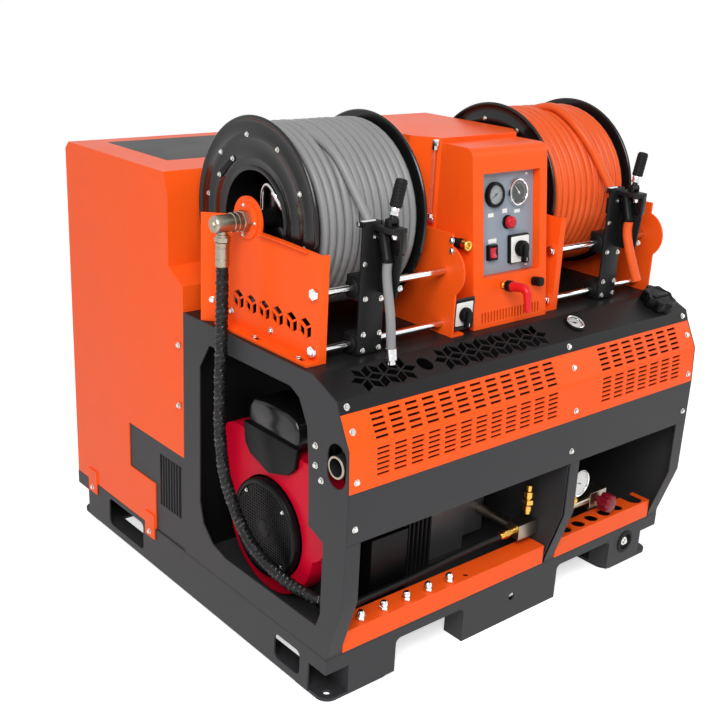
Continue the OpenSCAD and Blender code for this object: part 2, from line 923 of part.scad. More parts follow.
// Centre tower and level tube
module tower_plan(right_x, wing_y, back_y, w) {
    polygon([
        [box_x + w, tower_y + w], [right_x - w, tower_y + w], [right_x - w, back_y - w],
        [box_x - tower_wing + w, back_y - w], [box_x - tower_wing + w, wing_y]
    ]);
}
module hood_plan(w) {
    polygon([
        [box_x + w, tower_y + w], [box_x + box_w - w, tower_y + w],
        [box_x + box_w + tower_wing - w, hood_wing_y],
        [box_x + box_w + tower_wing - w, hood_back_y - w], [box_x - tower_wing + w, hood_back_y - w],
        [box_x - tower_wing + w, tower_wing_y]
    ]);
}
module centre_tower() {
    low_x = box_x + box_w - tower_right_gap;
    color("orangered") in_frame() {
        translate([0, 0, deck_z]) difference() {
            linear_extrude(hood_z - deck_z) tower_plan(low_x, tower_wing_y, tower_back_y, 0);
            translate([0, 0, sheet_t]) linear_extrude(hood_z - deck_z)
                tower_plan(low_x, tower_wing_y, tower_back_y, sheet_t);
        }
        translate([0, 0, hood_z]) difference() {
            linear_extrude(hood_top_z - hood_z) hood_plan(0);
            translate([0, 0, sheet_t]) linear_extrude(hood_top_z - hood_z - sheet_t * 2) hood_plan(sheet_t);
        }
    }
}
module level_tube() {
    out = atan2(-tower_wing, tower_y - tower_wing_y);
    color("whitesmoke") in_frame()
        translate([box_x, tower_y, level_z])
            translate([-tower_wing, tower_wing_y - tower_y, 0] * level_share) rotate([0, 0, out]) {
                for (z = [0, level_l - level_block])
                    translate([0, -level_block / 2, z])
                        cube([level_out + level_r, level_block, level_block]);
                translate([level_out, 0, level_block]) cylinder(h = level_l - level_block * 2, r = level_r);
            }
}

// Control box and what sits on its face
module box_outline(w) {
    r = box_round - w;
    arc_y = box_y + box_face_h * sin(lean) + box_round * (1 - sin(lean)) / cos(lean);
    arc_z = deck_z + box_face_h * cos(lean) - box_round;
    face_y = arc_y - r * cos(lean);
    face_z = arc_z + r * sin(lean);
    polygon([
        [face_y - (face_z - deck_z - w) * tan(lean), deck_z + w], [face_y, face_z], [arc_y, arc_z + r],
        [tower_y - w, arc_z + r], [tower_y - w, deck_z + w]
    ]);
    translate([arc_y, arc_z]) circle(r);
}
module control_box() {
    color("orangered") in_frame() difference() {
        union() {
            difference() {
                slab_x(box_x, box_w) box_outline(0);
                slab_x(box_x + box_wall, box_w - box_wall * 2) box_outline(box_wall);
            }
            on_face() translate([recess_x - box_wall, box_wall / 2, recess_z - box_wall])
                cube([recess_w + box_wall * 2, recess_d + box_wall / 2, recess_h + box_wall * 2]);
        }
        on_face() {
            translate([recess_x, -over, recess_z]) cube([recess_w, recess_d + over, recess_h]);
            for (k = [0:vent_slots - 1])
                translate([vent_slot_x + k * vent_slot_pitch, -over, vent_slot_z])
                    cube([vent_slot_w, box_wall + over * 2, vent_slot_h]);
            translate([button_x, recess_d - over, button_z])
                rod_along_y(box_wall + over * 2, button_stem_r + clear);
        }
    }
}
module control_panel() {
    color("dimgray") in_frame() on_face() difference() {
        translate([recess_x + clear, recess_d - panel_t, recess_z + clear])
            cube([recess_w - clear * 2, panel_t, recess_h - clear * 2]);
        translate([button_x, recess_d - panel_t - over, button_z])
            rod_along_y(panel_t + over * 2, button_stem_r + clear);
    }
}
module on_panel(x, z, d) { translate([x, panel_y - d, z]) children(); }
module dial(r, d, rim) {
    difference() {
        rod_along_y(d, r);
        translate([0, -over, 0]) rod_along_y(d / 2 + over, r - rim);
    }
}
module rocker_frame() {
    side = rocker_w + rocker_rim * 2;
    height = rocker_h + rocker_rim * 2;
    difference() {
        translate([-side / 2, 0, -height / 2]) cube([side, rocker_frame_d, height]);
        translate([-rocker_w / 2, -over, -rocker_h / 2])
            cube([rocker_w, rocker_frame_d + over * 2, rocker_h]);
        translate([-side / 2 - over, rocker_frame_d / 2, 0])
            rod_along_x(side + over * 2, rocker_pin_r + play);
    }
}
module panel_instruments() {
    color("black") in_frame() {
        on_face() {
            for (x = dial_xs) on_panel(x, dial_z, dial_d) dial(dial_r, dial_d, dial_rim);
            on_panel(button_x, button_z, button_collar_d) difference() {
                rod_along_y(button_collar_d, button_collar_r);
                translate([0, -over, 0]) rod_along_y(button_collar_d + over * 2, button_stem_r + play);
            }
            on_panel(rocker_x, rocker_z, rocker_frame_d) rocker_frame();
            on_panel(cam_x, cam_z, cam_plate_t) difference() {
                translate([-cam_plate / 2, 0, -cam_plate / 2]) cube([cam_plate, cam_plate_t, cam_plate]);
                translate([0, -over, 0]) rod_along_y(cam_plate_t + over, cam_stem_r + play);
            }
            translate([valve_x, -nipple_l - socket_l, valve_z]) difference() {
                rod_along_y(socket_l, socket_r);
                translate([0, -over, 0]) rod_along_y(socket_l + over - box_wall, valve_stem_r + play);
            }
            translate([gland_x, -gland_l, gland_z]) rod_along_y(gland_l, gland_r);
        }
        translate([box_x - selector_plate_w, box_y + selector_back, deck_z + selector_lift]) difference() {
            cube([selector_plate_w, selector_plate_t, selector_plate_h]);
            translate([selector_plate_w / 2, -over, selector_plate_h / 2])
                rod_along_y(selector_plate_t + over * 2, cam_stem_r + play);
        }
        on_slope(fuel_dial_x, cap_y) cylinder(h = fuel_dial_t, r = fuel_dial_r);
    }
}
module stop_button() {
    back = panel_y - button_collar_d - button_travel - clear;
    color("red") in_frame() on_face() translate([button_x, back - button_d, button_z]) {
        rod_along_y(button_d, button_r);
        rod_along_y(recess_d + box_wall + over - back + button_d, button_stem_r);
    }
}
module rocker_switch() {
    color("black") in_frame() on_face() on_panel(rocker_x, rocker_z, rocker_frame_d / 2) {
        translate([clear - rocker_w / 2, -rocker_d, rocker_gap - rocker_h / 2])
            cube([rocker_w - clear * 2, rocker_d + rocker_pin_r, rocker_h - rocker_gap * 2]);
        translate([-rocker_w / 2 - rocker_rim, 0, 0]) rod_along_x(rocker_w + rocker_rim * 2, rocker_pin_r);
    }
}
module turn_handle(hub_r, hub_d, grip_w, grip_l, grip_d, stem_l) {
    translate([0, -hub_d, 0]) rod_along_y(hub_d, hub_r);
    translate([-grip_w / 2, -hub_d - grip_d, -grip_l / 2]) cube([grip_w, grip_d, grip_l]);
    rod_along_y(stem_l, cam_stem_r);
}
module cam_switch() {
    color("black") in_frame() on_face() on_panel(cam_x, cam_z, cam_plate_t + clear)
        turn_handle(cam_hub_r, cam_hub_d, cam_grip_w, cam_grip_l, cam_grip_d, cam_plate_t);
}
module selector_knob() {
    color("black") in_frame()
        translate([box_x - selector_plate_w / 2, box_y + selector_back - clear,
                   deck_z + selector_lift + selector_plate_h / 2])
            turn_handle(selector_hub_r, cam_hub_d, cam_grip_w, selector_grip_l, cam_grip_d, selector_plate_t);
}
module valve_lever() {
    color("red") in_frame() on_face() translate([valve_x, -nipple_l - socket_l - clear, valve_z]) {
        rod_along_y(socket_l - box_wall, valve_stem_r);
        translate([0, -valve_reach, 0]) {
            rod_along_y(valve_reach, valve_arm_r);
            sphere(valve_arm_r);
            translate([0, 0, -valve_drop]) cylinder(h = valve_drop, r1 = valve_tip_r, r2 = valve_arm_r);
        }
    }
}
module brass_fittings() {
    color("goldenrod") in_frame() {
        on_face() translate([valve_x, -nipple_l, valve_z]) {
            rod_along_y(nipple_l, nipple_r);
            translate([0, nipple_l / 2, 0]) rotate([-90, 0, 0])
                cylinder(h = nipple_l / 2, r = nipple_r * 1.5, $fn = 6);
        }
        translate([box_x - ring_r - clear, side_union_y - nipple_l, side_union_z]) difference() {
            rod_along_y(nipple_l, ring_r);
            translate([0, -over, 0]) rod_along_y(nipple_l / 2 + over, ring_r / 2);
        }
        translate([manifold_x - union_l, manifold_y + manifold_s / 2, manifold_z]) {
            rod_along_x(union_l, feed_r);
            translate([union_l / 3, 0, 0]) rotate([0, 90, 0])
                cylinder(h = union_l / 3, r = union_r, $fn = 6);
        }
        translate([port_x, -port_t, port_z]) {
            rod_along_y(port_t, port_r);
            rod_along_y(port_t + sheet_t * 2, port_hole_r - clear);
        }
        translate([coupling_x, coupling_y, ledge_z]) cube([coupling_w, coupling_w, coupling_h]);
    }
}

// Reel brackets
module glyph() {
    for (k = [0:2]) rotate(k * 120) translate([0, glyph_web]) rhombus(glyph_r - glyph_web);
}
module bracket_ear() {
    polygon([
        [bracket_mid_y, deck_z], [bracket_mid_y, deck_z + bracket_top], [reel_y, deck_z + bracket_top],
        [reel_y, reel_z],
        [bracket_back_y, reel_z], [bracket_back_y, deck_z]
    ]);
    translate([reel_y, reel_z]) circle(ear_r);
}
module bracket_holes() {
    translate([reel_y, reel_z]) circle(shaft_r + play);
    for (lift = rod_lifts) translate([rod_y, deck_z + lift]) circle(rod_r + clear);
}
module bracket_foot(front_y) {
    difference() {
        translate([-bracket_foot_w, front_y, deck_z])
            cube([bracket_foot_w, bracket_back_y - front_y, bracket_t]);
        for (y = foot_slot_ys) translate([-bracket_foot_w / 2, y, deck_z - over])
            linear_extrude(bracket_t + over * 2)
            translate([0, -foot_slot_l / 2]) rotate(90) obround(foot_slot_l, foot_slot_r);
    }
}
module return_bracket() {
    bend = rear_flange_w * cos(45);
    slab_x(0, bracket_t) difference() {
        union() {
            bracket_ear();
            polygon([
                [bracket_front_y, deck_z], [bracket_front_y, deck_z + bracket_front_top],
                [bracket_mid_y, deck_z + bracket_top], [bracket_mid_y, deck_z]
            ]);
        }
        bracket_holes();
        for (k = [0:glyph_count - 1]) translate([glyph_y + k * glyph_pitch, deck_z + glyph_z]) glyph();
    }
    translate([bracket_t, bracket_front_y, deck_z])
        cube([bracket_return_w - bracket_t, bracket_t, bracket_front_top]);
    translate([0, 0, deck_z]) linear_extrude(rear_flange_h) polygon([
        [0, bracket_back_y], [bracket_t, bracket_back_y], [bracket_t - bend, bracket_back_y + bend],
        [-bend, bracket_back_y + bend]
    ]);
    bracket_foot(bracket_front_y);
}
module bulged_bracket() {
    bulge_z = deck_z + rod_lifts[0];
    slab_x(unit_l - bracket_t, bracket_t) difference() {
        union() {
            bracket_ear();
            polygon([
                [inner_front_y, deck_z], [inner_front_y, bulge_z - bulge_r / 2], [neck_y, bulge_z],
                [neck_y, deck_z + bracket_top], [bracket_mid_y, deck_z + bracket_top],
                [bracket_mid_y, deck_z]
            ]);
            translate([rod_y, bulge_z]) circle(bulge_r);
        }
        bracket_holes();
    }
    translate([unit_l, 0, 0]) mirror([1, 0, 0]) bracket_foot(inner_front_y);
}
module left_outer_bracket() { color("orangered") in_frame() translate([bracket_x, 0, 0]) return_bracket(); }
module left_inner_bracket() { color("orangered") in_frame() translate([bracket_x, 0, 0]) bulged_bracket(); }
module right_inner_bracket() { color("orangered") in_frame() translate([right_x, 0, 0]) return_bracket(); }
module right_outer_bracket() { color("orangered") in_frame() translate([right_x, 0, 0]) bulged_bracket(); }
module guide_rods() {
    color("silver") in_frame() for (x = [bracket_x, right_x], lift = rod_lifts)
        translate([x, rod_y, deck_z + lift]) {
            translate([-rod_nut_t - over, 0, 0]) rod_along_x(unit_l + rod_nut_t * 2 + over * 2, rod_r);
            for (u = [-rod_nut_t, unit_l])
                translate([u, 0, 0]) rotate([0, 90, 0]) cylinder(h = rod_nut_t, r = rod_nut_r, $fn = 6);
        }
}

// Reels and their hose
module flange() {
    rotate([0, 90, 0]) rotate_extrude($fn = 96) {
        translate([drum_r - drum_wall, rim_t - web_t]) square([flange_r - drum_r + drum_wall, web_t]);
        translate([flange_r - rim_w, 0]) square([rim_w, rim_t]);
        translate([ridge_r, rim_t - web_t - ridge_h]) square([ridge_w, ridge_h + web_t]);
        translate([drum_r - drum_wall, 0]) square([drum_wall * 2, rim_t]);
    }
}
module reel() {
    translate([clear, 0, 0]) rod_along_x(unit_l - clear * 2, shaft_r);
    for (u = [bracket_t + clear, unit_l - bracket_t - clear - collar_l]) translate([u, 0, 0])
        rod_along_x(collar_l, collar_r);
    translate([reel_u, 0, 0]) flange();
    translate([reel_u + reel_l, 0, 0]) mirror([1, 0, 0]) flange();
    translate([reel_u, 0, 0]) difference() {
        rod_along_x(reel_l, drum_r);
        translate([-over, 0, 0]) rod_along_x(reel_l + over * 2, drum_r - drum_wall);
    }
    for (u = spoke_us, k = [0:2]) translate([u, 0, 0]) rotate([k * 120, 0, 0])
        translate([-spoke_t / 2, -spoke_w / 2, 0]) cube([spoke_t, spoke_w, drum_r - drum_wall / 2]);
    translate([crimp_u, 0, 0]) {
        cylinder(h = drum_r - drum_wall / 2, r = crimp_stem_r);
        translate([0, 0, crimp_rise - crimp_l]) cylinder(h = crimp_l, r = crimp_r);
    }
}
function wind_span(d) = reel_l - rim_t * 2 - d - wind_margin * 2;
function wind_ring(centre, radial, r) = [
    for (k = [0:tube_sides - 1])
        let (a = 360 * k / tube_sides) centre + r * (cos(a) * radial - [sin(a), 0, 0])
];
function wind_rings(d) =
    let (
        turns = wind_span(d) / d,
        steps = floor(turns * loop_rings),
        step_angle = 360 / loop_rings,
        start_u = reel_u + rim_t + wind_margin + d / 2,
        radials = [for (i = [0:steps]) let (a = wind_start_angle + i * step_angle) [0, cos(a), sin(a)]],
        centres = [for (i = [0:steps]) [start_u + i * d / loop_rings, 0, 0] + wind_r * radials[i]],
        head = cross(radials[0], [1, 0, 0]),
        tail = cross([1, 0, 0], radials[steps])
    )
    concat(
        [wind_ring(centres[0] + d * head, radials[0], d / 2)],
        [for (i = [0:steps]) wind_ring(centres[i], radials[i], d / 2)],
        [wind_ring(centres[steps] + d * tail, radials[steps], d / 2)]
    );
function flat(list) = [for (inner = list) each inner];
function tube_faces(rings, sides) = concat(
    [for (i = [0:rings - 2], k = [0:sides - 1])
        each let (a = i * sides + k, b = i * sides + (k + 1) % sides) [[a, a + sides, b],
        [b, a + sides, b + sides]]],
    [for (k = [1:sides - 2]) [0, k, k + 1]],
    [for (k = [1:sides - 2], last = [(rings - 1) * sides]) [last, last + k + 1, last + k]]
);
module tube(rings, sides) {
    polyhedron(points = flat(rings), faces = tube_faces(len(rings), sides), convexity = 8);
}
function winding_gap(rings) = min([
    for (i = [0:len(rings) - loop_rings - 1]) min([
        for (p = rings[i], q = rings[i + loop_rings]) norm(p - q)
    ])
]);
module wound_hose(d) {
    core_r = (wind_r - d / 2) * cos(180 / loop_rings) - core_gap;
    rings = wind_rings(d);
    echo(least_gap_of_the_winding = winding_gap(rings));
    tube(rings, tube_sides);
    translate([reel_u + rim_t + core_gap, 0, 0]) difference() {
        rod_along_x(reel_l - rim_t * 2 - core_gap * 2, core_r);
        translate([-over, 0, 0]) rod_along_x(reel_l + over, drum_r + core_gap);
    }
}
module left_reel() { color("black") in_frame() at_axis(bracket_x) reel(); }
module right_reel() { color("black") in_frame() at_axis(right_x) reel(); }
module left_hose() { color("gray") in_frame() at_axis(bracket_x) wound_hose(left_hose_d); }
module right_hose() { color("coral") in_frame() at_axis(right_x) wound_hose(right_hose_d); }

// Hose guides
module guide_bearing(lift, h) {
    translate([(guide_w - bearing_l) / 2, guide_plate_y + guide_plate_t, deck_z + lift - h / 2])
        difference() {
        cube([bearing_l, rod_y + bearing_back - guide_plate_y - guide_plate_t, h]);
        translate([-over, rod_y - guide_plate_y - guide_plate_t, h / 2])
            rod_along_x(bearing_l + over * 2, rod_r + play);
    }
}
module guide_body() {
    top = deck_z + guide_top;
    block_top = top - block_drop;
    translate([0, guide_plate_y, deck_z + guide_lift]) {
        cube([guide_plate_w + flank_t, guide_plate_t, guide_top - guide_lift]);
        cube([guide_w, guide_plate_t, guide_low_h]);
    }
    guide_bearing(rod_lifts[0], bearing_h);
    guide_bearing(rod_lifts[1], low_bearing_h);
    translate([guide_plate_w, guide_plate_y - block_d, block_top]) {
        translate([0, 0, -flank_h]) cube([flank_t, block_d + guide_plate_t, flank_h]);
        translate([0, 0, -block_h]) cube([guide_w - guide_plate_w, block_d, block_h]);
    }
    translate([guide_w - guide_cap_w, guide_plate_y - block_d, block_top - guide_cap_h])
        cube([guide_cap_w, block_d, guide_cap_h]);
    translate([tail_u, hose_y, tail_z]) cylinder(h = sleeve_l + guide_cap_h / 2, r = sleeve_r);
    translate([0, roller_y, top - roller_lift]) rod_along_x(guide_plate_w, roller_r);
    for (x = [0, guide_plate_w - guide_plate_t])
        translate([x, guide_plate_y, top - roller_lift - roller_r])
            cube([guide_plate_t, roller_y - guide_plate_y, roller_r * 2]);
    ear_offset = (lever_hub_w + ear_t) / 2 + clear;
    for (offset_x = [-ear_offset, ear_offset])
        translate([lever_x - ear_t / 2 + offset_x, lever_y, block_top])
            difference() {
                union() {
                    translate([0, -lever_ear / 2, 0]) cube([ear_t, lever_ear, lever_pin_rise]);
                    translate([0, 0, lever_pin_rise]) rod_along_x(ear_t, lever_ear / 2);
                }
                translate([-over, 0, lever_pin_rise]) rod_along_x(ear_t + over * 2, lever_pin_r + play);
            }
}
module guide_lever() {
    pin_l = lever_hub_w + ear_t * 2 + clear * 2;
    translate([lever_x, lever_y, deck_z + guide_top - block_drop + lever_pin_rise]) {
        translate([-pin_l / 2, 0, 0]) rod_along_x(pin_l, lever_pin_r);
        translate([-lever_hub_w / 2, 0, 0]) rod_along_x(lever_hub_w, lever_ear / 2);
        rotate([0, lever_tilt, 0]) {
            cylinder(h = lever_stem_l, r = lever_r);
            translate([0, 0, lever_stem_l]) cylinder(h = ferrule_l, r = ferrule_r);
            translate([0, 0, lever_stem_l + ferrule_l]) {
                cylinder(h = grip_l - grip_r, r = grip_r);
                translate([0, 0, grip_l - grip_r]) sphere(grip_r);
            }
        }
    }
}
module left_guide() { color("black") in_frame() translate([bracket_x + guide_left_u, 0, 0]) guide_body(); }
module right_guide() { color("black") in_frame() translate([right_x + guide_right_u, 0, 0]) guide_body(); }
module left_guide_lever() {
    color("black") in_frame() translate([bracket_x + guide_left_u, 0, 0]) guide_lever();
}
module right_guide_lever() {
    color("black") in_frame() translate([right_x + guide_right_u, 0, 0]) guide_lever();
}

// Hoses that hang or lie along their own routes
function unit(v) = v / norm(v);
function along(route, i) = unit(route[min(i + 1, len(route) - 1)] - route[max(i - 1, 0)]);
function cord_rings(route, r, sides, ref) = [
    for (i = [0:len(route) - 1])
        let (t = along(route, i), u = unit(cross(ref, t)), v = cross(t, u))
        [for (k = [0:sides - 1]) route[i] + r * (cos(360 * k / sides) * u + sin(360 * k / sides) * v)]
];
module cord(route, r, ref) { tube(cord_rings(route, r, supply_sides, ref), supply_sides); }
module supply_hose() {
    color("dimgray") in_frame() translate([0, 0, ferrule_z]) cord(supply_route, supply_r, [1, 0, 0]);
}
module pump_hose() { color("black") in_frame() cord(pump_route, pump_hose_r, [0, 0, 1]); }
module left_hose_tail() {
    color("black") in_frame() translate([bracket_x + guide_left_u + tail_u, hose_y, tail_z]) {
        cord(left_tail_route, left_hose_d / 2, [1, 0, 0]);
        translate(left_tail_route[len(left_tail_route) - 1]) rotate([tail_lean, 0, 0])
            translate([0, 0, -tail_end_l]) cylinder(h = tail_end_l, r = tail_end_r);
    }
}
module right_hose_tail() {
    color("black") in_frame() translate([right_x + guide_right_u + tail_u, hose_y, tail_z])
        cord(right_tail_route, right_hose_d / 2, [1, 0, 0]);
}

// Swivels at the outer reel ends
module swivel() {
    at_axis(bracket_x) rotate([0, 0, 180]) {
        rod_along_x(swivel_l, swivel_r);
        rod_along_x(swivel_flange_t, swivel_flange_r);
        translate([swivel_flange_t, 0, 0]) rotate([0, 90, 0])
            cylinder(h = swivel_nut_l, r = swivel_nut_r, $fn = 6);
        translate([elbow_u, 0, -elbow_l]) cylinder(h = elbow_l, r = elbow_r);
        translate([elbow_u, 0, -elbow_l - ferrule_big_l]) cylinder(h = ferrule_big_l, r = ferrule_big_r);
    }
}
module left_swivel() { color("silver") in_frame() swivel(); }
module right_swivel() { color("silver") in_frame() to_right() swivel(); }

// Engine, gearbox and pump
module at_crank(x) { translate([x, engine_y, engine_z]) children(); }
module engine_cylinder() {
    cylinder(h = cylinder_l, r = cylinder_r);
    for (k = [1:fin_count])
        translate([0, 0, cylinder_l - fin_t - k * fin_t * 2]) cylinder(h = fin_t, r = fin_r);
}
module engine_block() {
    crank_top = engine_z + crank_h / 2;
    cleaner_x_mid = engine_x + engine_l / 2;
    color("dimgray") in_frame() difference() {
        union() {
            translate([engine_x, engine_y - engine_foot_w / 2, base_h])
                cube([engine_l, engine_foot_w, engine_foot_h]);
            translate([engine_x, engine_y - crank_w / 2, base_h])
                cube([engine_l, crank_w, crank_top - base_h]);
            at_crank(cleaner_x_mid) for (tilt = [-vee, vee]) rotate([tilt, 0, 0]) engine_cylinder();
            translate([cleaner_x_mid, engine_y, engine_z])
                cylinder(h = cleaner_z - engine_z, r = cleaner_neck_r);
        }
        at_crank(engine_x - over) rod_along_x(crank_depth + over, crank_r + play);
    }
}
module shroud_face(w) {
    translate([engine_y, engine_z]) circle(shroud_r - w);
    translate([engine_y - shroud_w / 2 + w, engine_z - shroud_drop + w])
        round_rect(shroud_w - w * 2, shroud_h - w * 2, shroud_round - w);
}
module engine_shroud() {
    color("firebrick") in_frame() {
        difference() {
            slab_x(shroud_x, shroud_l) shroud_face(0);
            slab_x(shroud_x + shroud_wall, shroud_l) shroud_face(shroud_wall);
            at_crank(shroud_x - over) rod_along_x(shroud_wall + over * 2, screen_r + shroud_wall);
        }
        for (y = [-boss_offset, boss_offset], z = [-boss_offset, boss_offset])
            at_crank(shroud_x) translate([0, y, z]) rod_along_x(shroud_l, boss_r);
    }
}
module engine_fan() {
    color("black") in_frame() at_crank(fan_x) {
        difference() {
            rod_along_x(fan_t, screen_r);
            translate([-over, 0, 0]) rod_along_x(fan_t + over * 2, screen_r - fan_rim);
        }
        rod_along_x(fan_t, fan_hub_r);
        for (k = [0:fan_blades - 1]) rotate([k * 360 / fan_blades, 0, 0])
            translate([fan_t / 3, -fan_blade_t / 2, 0])
                cube([fan_t / 3, fan_blade_t, screen_r - fan_rim / 2]);
        rod_along_x(engine_x - fan_x + crank_depth - clear, crank_r);
    }
}
module air_cleaner() {
    color("black") in_frame() translate([cleaner_x, cleaner_y, cleaner_z])
        linear_extrude(cleaner_h) round_rect(cleaner_l, cleaner_d, cleaner_round);
}
module muffler() {
    header_l = norm([engine_y - muffler_y, engine_z - muffler_z]) - cylinder_l;
    color("slategray") in_frame() {
        difference() {
            union() {
                translate([muffler_x, muffler_y, muffler_z]) rod_along_x(muffler_l, muffler_r);
                translate([-exhaust_out, exhaust_y, exhaust_z])
                    rod_along_x(muffler_x + exhaust_out + exhaust_in, exhaust_r);
            }
            translate([-exhaust_out - over, exhaust_y, exhaust_z])
                rod_along_x(muffler_x + exhaust_out, exhaust_r - sheet_t);
        }
        at_crank(engine_x + engine_l / 2) rotate([vee, 0, 0])
            translate([0, 0, cylinder_l]) cylinder(h = header_l, r = flange_pipe_r);
    }
}
module battery() {
    color("black") in_frame() translate([battery_x, battery_y, base_h]) {
        cube([battery_l, battery_d, battery_h]);
        for (x = [battery_l / 5, battery_l * 4 / 5])
            translate([x, battery_d / 2, battery_h]) cylinder(h = terminal_h, r = terminal_r);
    }
}
module gearbox() {
    color("gray") in_frame() translate([gear_x, gear_front_y, base_h]) {
        cube([gear_l, gear_w, gear_h]);
        for (k = [0:gear_fins - 1])
            translate([gear_fin_t + k * gear_l / gear_fins, -gear_fin_d, gear_fin_d])
                cube([gear_fin_t, gear_fin_d, gear_h - gear_fin_d * 2]);
    }
}
module pump() {
    color("slategray") in_frame() translate([pump_x, pump_front_y, base_h]) {
        cube([pump_l - head_l, pump_w, pump_h]);
        translate([pump_l - head_l, (pump_w - head_w) / 2, (pump_h - head_h) / 2])
            cube([head_l, head_w, head_h]);
        for (k = [0:valve_caps - 1])
            translate([pump_l - head_l / 2, (k + 0.5) * pump_w / valve_caps, (pump_h + head_h) / 2])
                cylinder(h = valve_cap_h, r = valve_cap_r, $fn = 6);
    }
}
module pump_manifold() {
    pipe_y = manifold_y + manifold_s / 2;
    pump_face_y = pump_front_y + (pump_w - head_w) / 2;
    post_y = ledge_d + ledge_gap;
    color("silver") in_frame() {
        translate([manifold_x, manifold_y, manifold_z - manifold_s / 2])
            cube([manifold_l, manifold_s, manifold_s]);
        translate([manifold_x + manifold_pipe_r * 1.5, pipe_y, manifold_z])
            rod_along_y(pump_face_y - pipe_y, manifold_pipe_r);
        translate([manifold_x + manifold_l / 2, pipe_y, manifold_z])
            rod_along_x(unload_x - manifold_x - manifold_l / 2 + over, feed_r);
        difference() {
            translate([unload_x, unload_y, manifold_z - unload_s / 2]) cube([unload_l, unload_s, unload_s]);
            translate([unload_x + unload_l / 2, unload_y - over, manifold_z])
                rod_along_y(unload_s / 2 + over, unload_stem_r + play);
        }
        translate([unload_x + (unload_l - unload_post) / 2, post_y, base_h])
            cube([unload_post, unload_y + unload_s - post_y, manifold_z - unload_s / 2 - base_h]);
    }
}
module unloader_knob() {
    color("black") in_frame()
        translate([unload_x + unload_l / 2, unload_y - unload_stem_l - unload_knob_l, manifold_z]) {
        rod_along_y(unload_knob_l, unload_knob_r);
        rod_along_y(unload_knob_l + unload_stem_l + unload_s / 2, unload_stem_r);
        for (k = [0:knob_lobes - 1]) rotate([0, k * 360 / knob_lobes, 0])
            translate([unload_knob_r, 0, 0]) rod_along_y(unload_knob_l, lobe_r);
    }
}
module pressure_gauge() {
    color("silver") in_frame() translate([gauge_x, manifold_y + manifold_s / 2, manifold_z + feed_r]) {
        translate([0, -gauge_t / 2, gauge_rise]) dial(gauge_r, gauge_t, gauge_rim);
        cylinder(h = gauge_rise - gauge_r * 0.9, r = gauge_stem_r);
    }
}

// Fuel tank
module fuel_neck(r, low) {
    on_slope(cap_x, cap_y) translate([0, 0, -low]) cylinder(h = low + neck_rise, r = r);
}
module fuel_tank() {
    color("black") in_frame() difference() {
        union() {
            translate([fuel_x, fuel_y, deck_z - sheet_t - fuel_h]) cube([fuel_l, fuel_d, fuel_h]);
            fuel_neck(neck_r, neck_depth);
        }
        translate([fuel_x + fuel_wall, fuel_y + fuel_wall, deck_z - sheet_t - fuel_h + fuel_wall])
            cube([fuel_l - fuel_wall * 2, fuel_d - fuel_wall * 2, fuel_h - fuel_wall * 2]);
        fuel_neck(neck_inner_r, neck_depth - fuel_wall);
    }
}
module fuel_cap() {
    color("black") in_frame() on_slope(cap_x, cap_y) translate([0, 0, clear]) difference() {
        union() {
            cylinder(h = cap_h, r = cap_r);
            for (k = [0:cap_ribs - 1]) rotate(k * 360 / cap_ribs) translate([cap_r, 0, 0])
                cylinder(h = cap_h, r = cap_rib_r);
        }
        translate([0, 0, -over]) cylinder(h = neck_rise + over, r = neck_r + play);
    }
}

// Screws and bolts
module facet_screw(x, top, low, share) {
    run = low - top;
    translate([x, top[0] + run[0] * share, top[1] + run[1] * share])
        rotate([atan2(-run[1], -run[0]), 0, 0]) cylinder(h = screw_h, r = screw_r);
}
module side_screws() {
    for (p = side_screw_shares) translate([-screw_h, p[0] * side_d, base_h + p[1] * side_h])
        rod_along_x(screw_h, screw_r);
    for (y = lug_ys) translate([-sheet_t - screw_h, y + lug_w / 2, base_h - lug_drop / 2])
        rod_along_x(screw_h, lug_bolt_r);
}
module panel_screws() {
    color("silver") in_frame() {
        for (x = [screw_inset, partition_x, base_l - screw_inset]) {
            facet_screw(x, [slope_front_y, slope_z], [panel_top_y, panel_top_z], screw_shares[0]);
            facet_screw(x, [panel_top_y, panel_top_z], [knuckle_y, knuckle_z], screw_shares[1]);
            facet_screw(x, [knuckle_y, knuckle_z], [-front_reach, panel_low_z], screw_shares[2]);
            facet_screw(x, [-front_reach, panel_low_z], [-front_reach, bay_top_z], screw_shares[3]);
        }
        side_screws();
        to_right() side_screws();
        for (x = [bracket_x - bracket_foot_w / 2, bracket_x + unit_l + bracket_foot_w / 2,
                  right_x - bracket_foot_w / 2, right_x + unit_l + bracket_foot_w / 2], y = foot_slot_ys)
            translate([x, y, deck_z + bracket_t]) cylinder(h = screw_h, r = lug_bolt_r);
    }
}

// Each sub-part under its own name
base_floor();
front_beam();
rear_beam();
left_beam();
right_beam();
left_side_plate();
right_side_plate();
centre_partition();
top_deck();
louvre_panel();
lower_panel();
tool_ledges();
spare_nozzles();
water_tank();
tank_cover();
vent_guards();
centre_tower();
level_tube();
control_box();
control_panel();
panel_instruments();
brass_fittings();
left_outer_bracket();
left_inner_bracket();
right_inner_bracket();
right_outer_bracket();
guide_rods();
left_swivel();
right_swivel();
supply_hose();
pump_hose();
engine_block();
engine_shroud();
air_cleaner();
muffler();
battery();
gearbox();
pump();
pump_manifold();
pressure_gauge();
fuel_tank();
panel_screws();
left_reel();
left_hose();
right_reel();
right_hose();
left_guide();
left_guide_lever();
left_hose_tail();
right_guide();
right_guide_lever();
right_hose_tail();
stop_button();
rocker_switch();
cam_switch();
selector_knob();
valve_lever();
fuel_cap();
unloader_knob();
engine_fan();
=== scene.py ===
"""Looks of a twin-reel drain jetter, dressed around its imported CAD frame."""

import math

import bmesh
import bpy
import numpy as np
from bpy.props import FloatProperty, FloatVectorProperty, PointerProperty
from mathutils import Matrix, Vector


